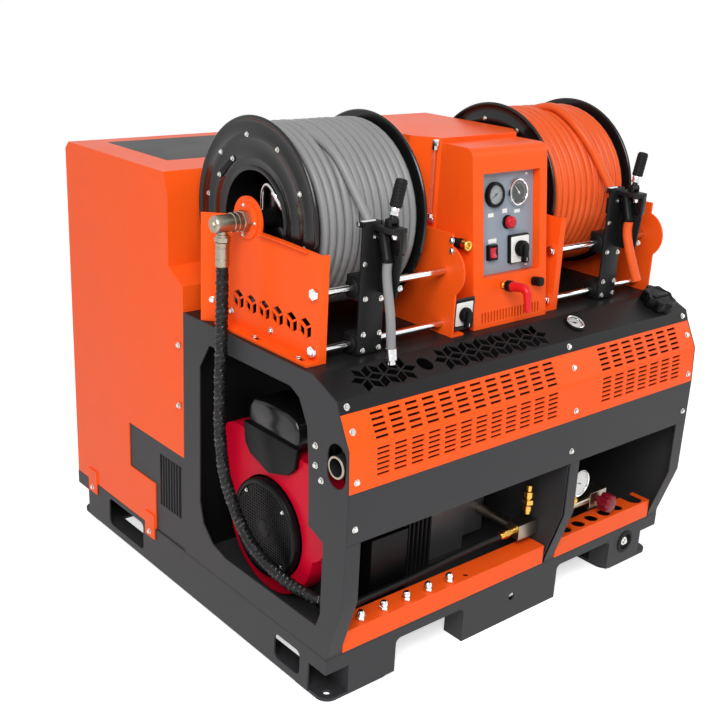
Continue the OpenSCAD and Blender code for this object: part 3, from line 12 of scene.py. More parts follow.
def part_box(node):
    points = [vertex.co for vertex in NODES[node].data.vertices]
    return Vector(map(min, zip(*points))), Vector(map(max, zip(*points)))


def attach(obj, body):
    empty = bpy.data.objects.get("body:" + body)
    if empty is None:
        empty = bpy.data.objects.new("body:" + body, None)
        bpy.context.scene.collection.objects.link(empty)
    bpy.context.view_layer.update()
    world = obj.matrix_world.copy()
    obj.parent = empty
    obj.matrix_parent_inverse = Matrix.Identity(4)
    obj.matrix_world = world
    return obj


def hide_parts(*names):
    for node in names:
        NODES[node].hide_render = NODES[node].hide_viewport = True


bl_info = {
    "name": "Drain jetter looks",
    "version": (1, 0, 0),
    "blender": (4, 5, 0),
    "location": "View3D > Sidebar > Jetter",
    "description": "Dresses the packed frame of a drain jetter with its finishes and fittings",
    "category": "Object",
}

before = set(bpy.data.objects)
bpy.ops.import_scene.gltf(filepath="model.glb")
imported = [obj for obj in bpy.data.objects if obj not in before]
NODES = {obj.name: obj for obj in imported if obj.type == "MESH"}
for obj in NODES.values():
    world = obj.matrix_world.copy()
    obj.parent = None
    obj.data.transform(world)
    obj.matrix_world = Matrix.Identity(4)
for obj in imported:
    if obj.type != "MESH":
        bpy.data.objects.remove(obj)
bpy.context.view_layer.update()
MM = 0.001
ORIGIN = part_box("base_floor")[0]

# Places of the machine in its own millimetres, as in the part's source
REEL_Y = 376
REEL_Z = 984
LEFT_X = 45
RIGHT_X = 763
UNIT_L = 362
GUIDE_LEFT_X = 140
GUIDE_RIGHT_X = 931
DECK_Z = 738
SLOPE_BACK_Y = 79
SLOPE_FALL = 33 / 75
SLOPE_DEG = math.degrees(math.atan(SLOPE_FALL))
FLANGE_SPAN = 336
FLANGE_BOLT_R = 178
GUIDE_FRONT_Y = 116
TAIL_X = 38
TAIL_Y = 75
TAIL_Z = 944
NOZZLE_COUNT = 5
NOZZLE_PITCH = 67

# The photo's camera: its place in the same millimetres, its yaw, pitch and roll in degrees,
# and its focal length in picture points
CAMERA_PLACE = (-1262.4, -1504.7, 1496.5)
CAMERA_TURNS = (41.146, 19.636, 2.919)
FOCAL_POINTS = 1095.96
PICTURE_POINTS = 720
SENSOR_MM = 36

# Angles in degrees above which an edge is rounded or stays sharp in the shading
ROUND_DEG = 40
SHADE_DEG = 38
TUBE_SHADE_DEG = 40
HANDLE_SHADE_DEG = 50

# Distances in metres and an angle in degrees below which points and faces count as one
DOUBLE_DIST = 0.000002
WELD_DIST = 0.00001
FLAT_DEG = 0.5

# Levels of the white stage: the floor's glow to the eye, and the sky as light and as it is seen
FLOOR_GLOW = 0.6
SKY_LIGHT = 0.36
SKY_SEEN = 1.0

# Size of the soft clouds of shade in the finishes, and the depth of their grain in metres
CLOUD_SCALE = 9.0
GRAIN_DEPTH = 0.0002

# Turns that point a piece's own Z axis another way
FORWARD = Matrix.Rotation(math.radians(90), 4, "X")
BACKWARD = Matrix.Rotation(math.radians(-90), 4, "X")
RIGHTWARD = Matrix.Rotation(math.radians(90), 4, "Y")
LEFTWARD = Matrix.Rotation(math.radians(-90), 4, "Y")
DOWNWARD = Matrix.Rotation(math.radians(180), 4, "X")

# Stands an outline up, drawn as seen from the side: its X runs back, its Y up and its Z to the right
SIDE_ON = RIGHTWARD @ Matrix.Rotation(math.radians(90), 4, "Z")

# Materials by key, filled by the first step
FINISHES = {}


def to_linear(code):
    """The linear colour of an sRGB hex code."""
    values = [int(code[k:k + 2], 16) / 255 for k in (1, 3, 5)]
    return [v / 12.92 if v <= 0.04045 else ((v + 0.055) / 1.055) ** 2.4 for v in values]


def at(x, y, z):
    """A point of the machine, in millimetres, as a point of the frame."""
    return Vector((ORIGIN.x + x * MM, ORIGIN.y + y * MM, z * MM))


def spot(x, y, z):
    """The place of a piece at a point of the machine."""
    return Matrix.Translation(at(x, y, z))


def shift(x, y, z):
    """A move in millimetres."""
    return Matrix.Translation(Vector((x, y, z)) * MM)


def turn(degrees, axis):
    """A turn about an axis."""
    return Matrix.Rotation(math.radians(degrees), 4, axis)


FACE = spot(480, 104, DECK_Z) @ turn(-7, "X")


def on_panel(x, z, depth=21):
    """A place on the leaning face: X to the right, Y up, Z towards the viewer."""
    return FACE @ shift(x, depth, z) @ FORWARD


def on_slope(x, y):
    """A place on the deck's slope, with Z square to it."""
    return spot(x, y, DECK_Z - (SLOPE_BACK_Y - y) * SLOPE_FALL) @ turn(SLOPE_DEG, "X")


# Modelling
def clear_selection():
    """Object mode with nothing selected."""
    if bpy.context.mode != "OBJECT":
        bpy.ops.object.mode_set(mode="OBJECT")
    bpy.ops.object.select_all(action="DESELECT")


def pick(*pieces):
    """Selects these pieces, the last one active."""
    clear_selection()
    for piece in pieces:
        piece.select_set(True)
        bpy.context.view_layer.objects.active = piece


def named(name):
    """The new active object under its own name."""
    piece = bpy.context.object
    piece.name = name
    piece.data.name = name
    return piece


def round_edges(piece, width, steps, degrees):
    """Rounds the sharp edges with a bevel."""
    bevel = piece.modifiers.new("round", "BEVEL")
    bevel.width = width * MM
    bevel.segments = steps
    bevel.limit_method = "ANGLE"
    bevel.angle_limit = math.radians(degrees)
    return bevel


def dress(piece, place, finish, width=0, steps=2):
    """Rounds, shades and paints a piece, and puts its place into its mesh."""
    pick(piece)
    if width:
        bevel = round_edges(piece, width, steps, ROUND_DEG)
        bpy.ops.object.modifier_apply(modifier=bevel.name)
    bpy.ops.object.shade_smooth_by_angle(angle=math.radians(SHADE_DEG))
    piece.matrix_world = place
    bpy.ops.object.transform_apply(location=True, rotation=True, scale=True)
    piece.data.materials.clear()
    piece.data.materials.append(FINISHES[finish])
    piece["finish"] = finish
    return piece


def close_up():
    """Merges doubles in edit mode, turns the faces outwards and goes back to object mode."""
    bpy.ops.mesh.select_all(action="SELECT")
    bpy.ops.mesh.remove_doubles(threshold=DOUBLE_DIST)
    bpy.ops.mesh.normals_make_consistent(inside=False)
    bpy.ops.object.mode_set(mode="OBJECT")


def turned(name, outline, place, finish, sides, hollow=False):
    """A turned piece: a ring at the first (radius, height), extruded and sized ring after ring."""
    clear_selection()
    first_r, first_h = outline[0]
    fill = "NOTHING" if hollow else "NGON"
    bpy.ops.mesh.primitive_circle_add(
        vertices=sides, radius=first_r * MM, fill_type=fill, location=(0, 0, 0), enter_editmode=True
    )
    piece = named(name)
    for (r, h), (next_r, next_h) in zip(outline, outline[1:]):
        rise = (0, 0, (next_h - h) * MM)
        bpy.ops.mesh.extrude_region_move(TRANSFORM_OT_translate={"value": rise})
        size = next_r / r
        centre = (0, 0, (next_h - first_h) * MM)
        bpy.ops.transform.resize(value=(size, size, 1), center_override=centre)
    close_up()
    return dress(piece, place @ shift(0, 0, first_h), finish)


def slab(name, outline, depth, place, finish, width=0.8, steps=2):
    """A plate: a ring of points set out as the outline, filled and pulled to its depth along Z."""
    clear_selection()
    bpy.ops.mesh.primitive_circle_add(
        vertices=len(outline), radius=MM, fill_type="NGON", location=(0, 0, 0)
    )
    piece = named(name)
    for vertex, (x, y) in zip(piece.data.vertices, outline):
        vertex.co = (x * MM, y * MM, 0)
    bpy.ops.object.mode_set(mode="EDIT")
    bpy.ops.mesh.select_all(action="SELECT")
    bpy.ops.mesh.extrude_region_move(TRANSFORM_OT_translate={"value": (0, 0, depth * MM)})
    close_up()
    return dress(piece, place, finish, width, steps)


def block(name, low, high, place, finish, width=1.0, steps=2):
    """A rounded block between two corners."""
    clear_selection()
    size = [(b - a) * MM for a, b in zip(low, high)]
    centre = [(a + b) * MM / 2 for a, b in zip(low, high)]
    bpy.ops.mesh.primitive_cube_add(size=1, location=centre, scale=size)
    piece = named(name)
    bpy.ops.object.transform_apply(location=True, rotation=True, scale=True)
    return dress(piece, place, finish, width, steps)


def tube(name, points, radius, finish, rings, smooth=True):
    """A round hose or pipe along points of the frame, as a mesh."""
    line = cord_curve(name, points, radius, finish, rings, smooth)
    pick(line)
    bpy.ops.object.convert(target="MESH")
    piece = named(name)
    bpy.ops.object.shade_smooth_by_angle(angle=math.radians(TUBE_SHADE_DEG))
    piece["finish"] = finish
    return piece


def cord_curve(name, points, radius, finish, rings=6, smooth=True):
    """A round cord as a curve of one open spline through points of the frame."""
    clear_selection()
    line = bpy.data.curves.new(name, "CURVE")
    line.dimensions = "3D"
    line.bevel_depth = radius * MM
    line.bevel_resolution = rings
    line.use_fill_caps = True
    line.resolution_u = 8
    line.render_resolution_u = 8
    spline = line.splines.new("BEZIER" if smooth else "POLY")
    if smooth:
        spline.bezier_points.add(len(points) - 1)
        for knot, point in zip(spline.bezier_points, points):
            knot.co = point
            knot.handle_left_type = "AUTO"
            knot.handle_right_type = "AUTO"
    else:
        spline.points.add(len(points) - 1)
        for knot, point in zip(spline.points, points):
            knot.co = (*point, 1)
    piece = bpy.data.objects.new(name, line)
    bpy.context.collection.objects.link(piece)
    line.materials.append(FINISHES[finish])
    piece["finish"] = finish
    return piece


def copied(piece, name, move):
    """A copy with its own mesh, moved in its mesh."""
    twin = piece.copy()
    twin.data = piece.data.copy()
    twin.name = name
    twin.data.name = name
    bpy.context.collection.objects.link(twin)
    twin.data.transform(move)
    return twin


def joined(name, pieces):
    """Several meshes made one piece: the last one, with the others joined into it."""
    pick(*pieces)
    bpy.ops.object.join()
    return named(name)


def mount(piece, body="frame", *nodes):
    """Rides a piece on its body and the CAD nodes that it stands for."""
    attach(piece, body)
    if nodes:
        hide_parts(*nodes)
    return piece


def rounded(w, h, r, steps=5):
    """The outline of a rectangle with round corners, centred."""
    points = []
    for k, (x, y) in enumerate([(w / 2 - r, h / 2 - r), (r - w / 2, h / 2 - r), (r - w / 2, r - h / 2),
                                (w / 2 - r, r - h / 2)]):
        for j in range(steps + 1):
            a = math.radians(90 * (k + j / steps))
            points.append((x + r * math.cos(a), y + r * math.sin(a)))
    return points


def bolts(name, places, size, body="frame", *nodes):
    """Zinc plated hex bolts, modelled once and copied to each place. Size is half the head's width."""
    washer = turned(name, [(size * 1.3, 0), (size * 1.3, size * 0.16), (size * 1.18, size * 0.24)],
                    Matrix.Identity(4), "zinc", 20)
    head = turned(name + "_head", [(size, size * 0.2), (size, size * 0.78), (size * 0.86, size * 0.92)],
                  Matrix.Identity(4), "zinc", 6)
    one = joined(name, [washer, head])
    copies = [copied(one, f"{name}_{k}", place) for k, place in enumerate(places)]
    bpy.data.objects.remove(one)
    return mount(joined(name, copies), body, *nodes)


def chamfered(radius, low, high, cut=1, rise=1):
    """The outline of a turned barrel with both rims cut off."""
    return [(radius - cut, low), (radius, low + rise), (radius, high - rise), (radius - cut, high)]


def lobed(piece, place, count, height, least, below):
    """Pushes the rim of a turned piece out and in, so that lobes go round it."""
    back = place.inverted()
    for vertex in piece.data.vertices:
        local = back @ vertex.co
        reach = math.hypot(local.x, local.y)
        if reach > least * MM and local.z < below * MM:
            wave = math.cos(count * math.atan2(local.y, local.x))
            local.xy *= 1 + wave * height * MM / reach
            vertex.co = place @ local


def keep_node(name, finish, width, steps, degrees):
    """Gives a CAD node that stays its finish, rounded edges and even shading."""
    node = NODES[name]
    node.data.materials.clear()
    node.data.materials.append(FINISHES[finish])
    pick(node)
    bpy.ops.object.shade_smooth()
    weld = node.modifiers.new("weld", "WELD")
    weld.merge_threshold = WELD_DIST
    plain = node.modifiers.new("plain", "DECIMATE")
    plain.decimate_type = "DISSOLVE"
    plain.angle_limit = math.radians(FLAT_DEG)
    round_edges(node, width, steps, degrees)
    flat = node.modifiers.new("flat", "WEIGHTED_NORMAL")
    flat.keep_sharp = False


def ring_places(place, radius, count, start):
    """Places around a ring in the plane of a place."""
    return [place @ turn(start + 360 * k / count, "Z") @ shift(radius, 0, 0) for k in range(count)]


def solids_of(node):
    """Centre and thinnest direction of each separate solid of a CAD node."""
    shape = bmesh.new()
    shape.from_mesh(NODES[node].data)
    bmesh.ops.remove_doubles(shape, verts=shape.verts, dist=DOUBLE_DIST)
    left = set(shape.verts)
    found = []
    while left:
        island = [left.pop()]
        for vertex in island:
            for edge in vertex.link_edges:
                other = edge.other_vert(vertex)
                if other in left:
                    left.remove(other)
                    island.append(other)
        points = np.array([v.co for v in island])
        centre = points.mean(0)
        axis = np.linalg.svd(points - centre)[2][2]
        found.append((Vector(centre), Vector(axis)))
    shape.free()
    return sorted(found, key=lambda item: tuple(round(v, 4) for v in item[0]))


# Finishes
def add_node(tree, kind, values=None, **settings):
    """Adds a node with its settings, and sets or links each of its inputs."""
    node = tree.nodes.new(kind)
    for key, value in settings.items():
        setattr(node, key, value)
    for key, value in (values or {}).items():
        if isinstance(value, bpy.types.NodeSocket):
            tree.links.new(value, node.inputs[key])
        else:
            node.inputs[key].default_value = value
    return node


def coated(key, name, colour, rough, grain, depth, shade, metallic=0.0, spread=0.05, shine=0.5):
    """A material with a fine surface grain, in millimetres, and soft changes of shade and gloss."""
    material = bpy.data.materials.new(name)
    material.use_nodes = True
    tree = material.node_tree
    shader = tree.nodes["Principled BSDF"]
    place = add_node(tree, "ShaderNodeTexCoord").outputs["Object"]
    cloud = add_node(tree, "ShaderNodeTexNoise", {"Vector": place, "Scale": CLOUD_SCALE, "Detail": 4.0})
    fine = add_node(tree, "ShaderNodeTexNoise", {"Vector": place, "Scale": 1 / (grain * MM), "Detail": 3.0})
    dark = [*(c * (1 - shade) for c in colour), 1]
    light = [*(min(1, c * (1 + shade)) for c in colour), 1]
    ramp = add_node(tree, "ShaderNodeMix", {"Factor": cloud.outputs["Fac"]}, data_type="RGBA")
    ramp.inputs["A"].default_value = dark
    ramp.inputs["B"].default_value = light
    tree.links.new(ramp.outputs["Result"], shader.inputs["Base Color"])
    gloss = add_node(
        tree, "ShaderNodeMapRange",
        {"Value": cloud.outputs["Fac"], "To Min": rough - spread, "To Max": rough + spread}
    )
    tree.links.new(gloss.outputs["Result"], shader.inputs["Roughness"])
    bump = add_node(
        tree, "ShaderNodeBump", {"Height": fine.outputs["Fac"], "Strength": depth, "Distance": GRAIN_DEPTH}
    )
    tree.links.new(bump.outputs["Normal"], shader.inputs["Normal"])
    shader.inputs["Metallic"].default_value = metallic
    shader.inputs["Specular IOR Level"].default_value = shine
    FINISHES[key] = material


def tone(name, use, code):
    """A colour that starts as an sRGB hex code."""
    return FloatVectorProperty(name=name, description=use, subtype="COLOR", min=0, max=1,
                               default=to_linear(code))


class JETTER_PG_colours(bpy.types.PropertyGroup):
    """Colours of the machine's finishes."""

    orange: tone("Orange", "Powder coat of the tank, panels and brackets", "#FC5A18")
    charcoal: tone("Charcoal", "Powder coat of the base and cabinet", "#333335")
    black: tone("Black", "Powder coat of the deck and hose guides", "#1A1A1B")
    panel: tone("Panel", "Control panel sheet", "#8D97A3")
    shroud: tone("Shroud", "Engine fan housing", "#D4062C")
    red: tone("Red", "Stop button and rocker", "#C0142A")
    grey_hose: tone("Grey hose", "Hose on the left reel", "#858585")
    orange_hose: tone("Orange hose", "Hose on the right reel", "#E45A22")


class JETTER_PG_sizes(bpy.types.PropertyGroup):
    """Sizes that only the looks have."""

    edge: FloatProperty(name="Sheet edge", default=0.9, min=0.2, max=1.8,
                        description="Rounding of the folded sheet's edges in millimetres")
    guard_pitch: FloatProperty(name="Guard pitch", default=12.5, min=8, max=30,
                               description="Pitch of the spiral hose guard in millimetres")
    bolt: FloatProperty(name="Bolt head", default=5.6, min=3, max=8,
                        description="Half the width of a panel bolt's head in millimetres")
    key_light: FloatProperty(name="Key light", default=162, min=0, unit="POWER",
                             description="Power of the main lamp")
    fill_light: FloatProperty(name="Fill light", default=26, min=0, unit="POWER",
                              description="Power of the side lamp")


class JETTER_OT_finishes(bpy.types.Operator):
    """Makes the finishes that the pieces take"""

    bl_idname = "jetter.finishes"
    bl_label = "Make the finishes"

    def execute(self, context):
        colours = context.scene.jetter_colours
        # Powder coat: a low orange peel about 2 mm wide, drawn a little coarse, and a soft half gloss
        coated("orange", "Powder coat orange", colours.orange, 0.36, 1.8, 0.06, 0.03, shine=0.14)
        coated("charcoal", "Powder coat charcoal", colours.charcoal, 0.48, 1.2, 0.12, 0.07, shine=0.18)
        coated("black", "Powder coat black", colours.black, 0.42, 1.2, 0.10, 0.08, shine=0.16)
        # Satin enamel on pressed steel: smoother and glossier than the powder coat
        coated("reel", "Satin enamel black", to_linear("#121213"), 0.2, 3.0, 0.05, 0.08, shine=0.38)
        # Painted instrument sheet: flat, even and matt
        coated("panel", "Painted sheet blue grey", colours.panel, 0.5, 0.8, 0.05, 0.03, shine=0.25)
        # Moulded ABS: a faint spark-eroded grain under a dull sheen
        coated("plastic", "Moulded ABS black", to_linear("#0B0B0C"), 0.38, 0.9, 0.08, 0.1, shine=0.13)
        coated("red", "Moulded ABS red", colours.red, 0.3, 0.9, 0.04, 0.05, shine=0.3)
        # A darker copy of the red ABS for the unloader's hand knob: painted shade, as the knob sits in
        # shadow
        coated("red_in_shade", "Moulded ABS red in painted shade", to_linear("#7A1020"), 0.35, 0.9, 0.04, 0.05, shine=0.25)
        # Dipped vinyl: thick, soft and shiny
        coated("vinyl", "Dipped vinyl red", to_linear("#DE1A20"), 0.33, 2.5, 0.12, 0.06, shine=0.3)
        # Painted pressed steel with a clear gloss, as on a car
        coated("shroud", "Gloss enamel red", colours.shroud, 0.34, 4.0, 0.04, 0.04, shine=0.12)
        # Moulded rubber: matt, with an open grain
        coated("rubber", "Rubber black", to_linear("#0D0D0D"), 0.62, 1.0, 0.2, 0.12, shine=0.2)
        # Plated and bare metals: clear reflections broken by fine tool marks
        coated("zinc", "Zinc plated steel", to_linear("#CFCFCB"), 0.26, 0.8, 0.1, 0.1, 1.0)
        coated("chrome", "Chromed steel", to_linear("#E4E5E6"), 0.12, 1.5, 0.03, 0.04, 1.0, spread=0.03)
        coated("stainless", "Turned stainless steel", to_linear("#A39A8A"), 0.3, 0.6, 0.12, 0.08, 1.0)
        coated("brass", "Brass", to_linear("#D9AE55"), 0.25, 0.8, 0.1, 0.1, 1.0)
        coated("cast", "Cast aluminium", to_linear("#8F9194"), 0.46, 1.4, 0.3, 0.12, 0.85)
        # Heat-proof paint on castings: sooty and uneven
        coated("engine", "Engine paint dark grey", to_linear("#1C1D1E"), 0.55, 1.6, 0.3, 0.2, shine=0.2)
        # Baked enamel of dial plates and switch plates
        coated("enamel", "Baked enamel white", to_linear("#E9E9E6"), 0.42, 1.0, 0.03, 0.02)
        coated("dial", "Baked enamel grey", to_linear("#9BA0A3"), 0.42, 1.0, 0.03, 0.03)
        coated("green", "Baked enamel green", to_linear("#3E9A62"), 0.42, 1.0, 0.03, 0.03)
        # Extruded hoses: a slight cloth print under the skin and dust in soft patches; the dark dips between
        # the turns are painted shade from the dark core below them
        coated("hose_grey", "Thermoplastic hose grey", colours.grey_hose, 0.38, 1.2, 0.22, 0.13, shine=0.3)
        coated("hose_orange", "Thermoplastic hose orange", colours.orange_hose, 0.36, 1.2, 0.2, 0.1,
               shine=0.26)
        coated("hose_black", "Rubber hose black", to_linear("#101011"), 0.5, 1.0, 0.3, 0.15, shine=0.25)
        coated("guard", "Polyethylene guard black", to_linear("#0B0B0C"), 0.28, 2.0, 0.12, 0.1, shine=0.34)
        for key, name, tint, rough in (("clear", "Acrylic tube", "#F2F5F5", 0.08),
                                       ("glass", "Dial glass", "#FFFFFF", 0.03)):
            # Clear moulded plastic and flat glass: they only show by their highlights
            material = bpy.data.materials.new(name)
            material.use_nodes = True
            shader = material.node_tree.nodes["Principled BSDF"]
            shader.inputs["Base Color"].default_value = (*to_linear(tint), 1)
            shader.inputs["Roughness"].default_value = rough
            shader.inputs["Transmission Weight"].default_value = 1.0
            shader.inputs["IOR"].default_value = 1.49
            FINISHES[key] = material
        return {"FINISHED"}


class JETTER_OT_stage(bpy.types.Operator):
    """Sets up the camera, the floor and the light"""

    bl_idname = "jetter.stage"
    bl_label = "Set the stage"

    def execute(self, context):
        sizes = context.scene.jetter_sizes
        scene = context.scene
        scene.view_settings.view_transform = "Standard"
        yaw, pitch, roll = (math.radians(v) for v in CAMERA_TURNS)
        ahead = Vector((math.sin(yaw) * math.cos(pitch), math.cos(yaw) * math.cos(pitch), -math.sin(pitch)))
        right = Vector((math.cos(yaw), -math.sin(yaw), 0))
        up = right.cross(ahead)
        across = right * math.cos(roll) + up * math.sin(roll)
        upright = up * math.cos(roll) - right * math.sin(roll)
        clear_selection()
        bpy.ops.object.camera_add(location=at(*CAMERA_PLACE))
        camera = context.object
        camera.name = "photo_camera"
        facing = Matrix((across, upright, -ahead)).transposed().to_4x4()
        camera.matrix_world = Matrix.Translation(camera.location) @ facing
        camera.data.sensor_width = SENSOR_MM
        camera.data.lens = SENSOR_MM * FOCAL_POINTS / PICTURE_POINTS
        camera.data.clip_end = 500
        scene.camera = camera
        clear_selection()
        bpy.ops.mesh.primitive_plane_add(size=240, location=(0, 0, -0.0005))
        floor = named("studio_floor")
        paper = bpy.data.materials.new("Studio paper white")
        paper.use_nodes = True
        tree = paper.node_tree
        shader = tree.nodes["Principled BSDF"]
        shader.inputs["Base Color"].default_value = (*to_linear("#FBFBFB"), 1)
        shader.inputs["Roughness"].default_value = 0.9
        # The paper glows only to the eye, so that it comes out white and keeps the shadow
        shader.inputs["Emission Color"].default_value = (1, 1, 1, 1)
        glow = self.seen(tree, 0.0, FLOOR_GLOW)
        tree.links.new(glow, shader.inputs["Emission Strength"])
        floor.data.materials.append(paper)
        world = bpy.data.worlds.new("Studio white")
        world.use_nodes = True
        scene.world = world
        tree = world.node_tree
        sky = tree.nodes["Background"]
        sky.inputs["Color"].default_value = (1, 1, 1, 1)
        tree.links.new(self.seen(tree, SKY_LIGHT, SKY_SEEN), sky.inputs["Strength"])
        for name, power, place, size in (
            ("key_lamp", sizes.key_light, Vector((-2.6, -2.6, 3.4)), 2.6),
            ("fill_lamp", sizes.fill_light, Vector((3.2, -2.2, 2.2)), 2.4),
        ):
            clear_selection()
            bpy.ops.object.light_add(type="AREA", location=place)
            lamp = context.object
            lamp.name = name
            lamp.data.energy = power
            lamp.data.shape = "DISK"
            lamp.data.size = size
            lamp.rotation_euler = (Vector((0, 0, 0.55)) - place).to_track_quat("-Z", "Y").to_euler()
        return {"FINISHED"}

    def seen(self, tree, unseen_level, seen_level):
        """One level for the rays of the eye, of metal and of glass, and another for the rest."""
        rays = add_node(tree, "ShaderNodeLightPath").outputs
        found = rays["Is Camera Ray"]
        for kind in ("Is Glossy Ray", "Is Transmission Ray"):
            either = add_node(tree, "ShaderNodeMath", {0: found, 1: rays[kind]}, operation="MAXIMUM")
            found = either.outputs[0]
        level = add_node(
            tree, "ShaderNodeMapRange", {"Value": found, "To Min": unseen_level, "To Max": seen_level}
        )
        return level.outputs["Result"]


class JETTER_OT_cords(bpy.types.Operator):
    """Lays the supply hose with its guard, the pump hose and the two hose tails"""

    bl_idname = "jetter.cords"
    bl_label = "Lay the hoses"

    def execute(self, context):
        pitch = context.scene.jetter_sizes.guard_pitch
        # Supply hose, with its heights counted from the end of the left swivel
        drop = 892
        route = [(-17, 376, 0), (-17, 376, -60), (-17, 377, -120), (-17, 378, -180), (-18, 380, -240),
                 (-18, 380, -300), (-18, 381, -360), (-16, 377, -420), (-12, 370, -480), (-4, 352, -540),
                 (8, 318, -610), (16, 270, -650), (24, 220, -672), (34, 165, -686), (48, 115, -694),
                 (62, 84, -700), (63, 75, -700), (63, 66, -700)]
        points = [at(x, y, drop + z) for x, y, z in route]
        hose = cord_curve("supply_hose_tube", points, 13, "hose_black")
        guard = self.guard(hose, pitch)
        mount(guard)
        mount(hose, "frame", "supply_hose")
        # Pump hose, from the coupling through the left bay to the manifold
        route = [(80, 50, 190), (95, 50, 190), (120, 54, 187), (150, 59, 184), (190, 62, 182),
                 (230, 63, 182), (270, 63, 183), (310, 62, 186), (350, 61, 190), (390, 59, 195),
                 (430, 57, 200), (470, 54, 204), (510, 52, 208), (545, 50, 210), (574, 50, 210)]
        points = [at(*p) for p in route]
        hose = cord_curve("pump_hose_tube", points, 8, "hose_black")
        mount(hose, "frame", "pump_hose")
        self.tail("left", GUIDE_LEFT_X + TAIL_X, 20, "hose_grey", [
            (0, 0, 0), (0, 0, -24), (0, -8, -64), (0, -18, -110), (0, -23, -150), (0, -26, -178)])
        self.tail("right", GUIDE_RIGHT_X + TAIL_X, 23, "hose_orange", [
            (0, 0, 0), (0, 0, -24), (0, -10, -60), (2, -25, -100), (8, -40, -142)])
        return {"FINISHED"}

    def guard(self, hose, pitch):
        """A spiral guard wound on the hose."""
        knots = [Vector(k.co) for k in hose.data.splines[0].bezier_points]
        line = smooth_line(knots, 0.002)
        coil_r = 9.6 * MM
        strand_r = 5.4
        side = Vector((0, 1, 0))
        wound = []
        gone = 0.0
        for here, after in zip(line, line[1:]):
            ahead = (after - here).normalized()
            side = (side - ahead * side.dot(ahead)).normalized()
            other = ahead.cross(side)
            a = math.tau * gone / (pitch * MM)
            wound.append(here + (side * math.cos(a) + other * math.sin(a)) * coil_r)
            gone += (after - here).length
        return tube("supply_hose_guard", wound[6:-10], strand_r, "guard", 3, False)

    def tail(self, side, x, d, finish, offsets):
        """The free end of a hose below its guide."""
        points = [at(x + dx, TAIL_Y + dy, TAIL_Z + dz) for dx, dy, dz in offsets]
        hose = cord_curve(side + "_tail_tube", points, d / 2, finish, 8)
        body = side + "_guide"
        with_pieces = []
        if side == "left":
            lean = Matrix.Translation(points[-1]) @ turn(-8, "X") @ DOWNWARD
            shape = [(10.4, -4), (12, -3), (12, 9), (11.2, 10), (12, 11), (12, 20), (9, 21), (8, 22),
                     (8, 25), (9, 26), (9, 30), (7, 32), (3, 32)]
            with_pieces = [mount(turned("left_tail_fitting", shape, lean, "chrome", 32), body)]
        mount(hose, body, side + "_hose_tail")


def smooth_line(knots, step):
    """Points a step apart on the smooth line through knots."""
    line = []
    for k in range(len(knots) - 1):
        a = knots[max(k - 1, 0)]
        b = knots[k]
        c = knots[k + 1]
        d = knots[min(k + 2, len(knots) - 1)]
        count = max(2, int((c - b).length / step))
        for j in range(count):
            t = j / count
            line.append(0.5 * (2 * b + (c - a) * t + (2 * a - 5 * b + 4 * c - d) * t * t
                               + (3 * b - a - 3 * c + d) * t ** 3))
    line.append(knots[-1])
    return line


class JETTER_OT_sheet_metal(bpy.types.Operator):
    """Gives the CAD nodes that stay their finishes and rounded edges"""

    bl_idname = "jetter.sheet_metal"
    bl_label = "Finish the sheet metal"

    groups = {
        "charcoal": ("base_floor", "front_beam", "rear_beam", "left_beam", "right_beam", "left_side_plate",
                     "right_side_plate", "centre_partition", "lower_panel", "vent_guards"),
        "black": ("top_deck", "tank_cover", "fuel_tank"),
        "orange": ("louvre_panel", "tool_ledges", "water_tank", "centre_tower", "control_box",
                   "left_outer_bracket", "left_inner_bracket", "right_inner_bracket", "right_outer_bracket"),
        "panel": ("control_panel",),
        "chrome": ("guide_rods",),
        "engine": ("engine_block", "gearbox", "muffler"),
        "cast": ("pump",),
        "stainless": ("pump_manifold",),
        "plastic": ("battery",),
    }

    def execute(self, context):
        for finish, names in self.groups.items():
            for name in names:
                keep_node(name, finish, context.scene.jetter_sizes.edge, 2, 30)
        return {"FINISHED"}


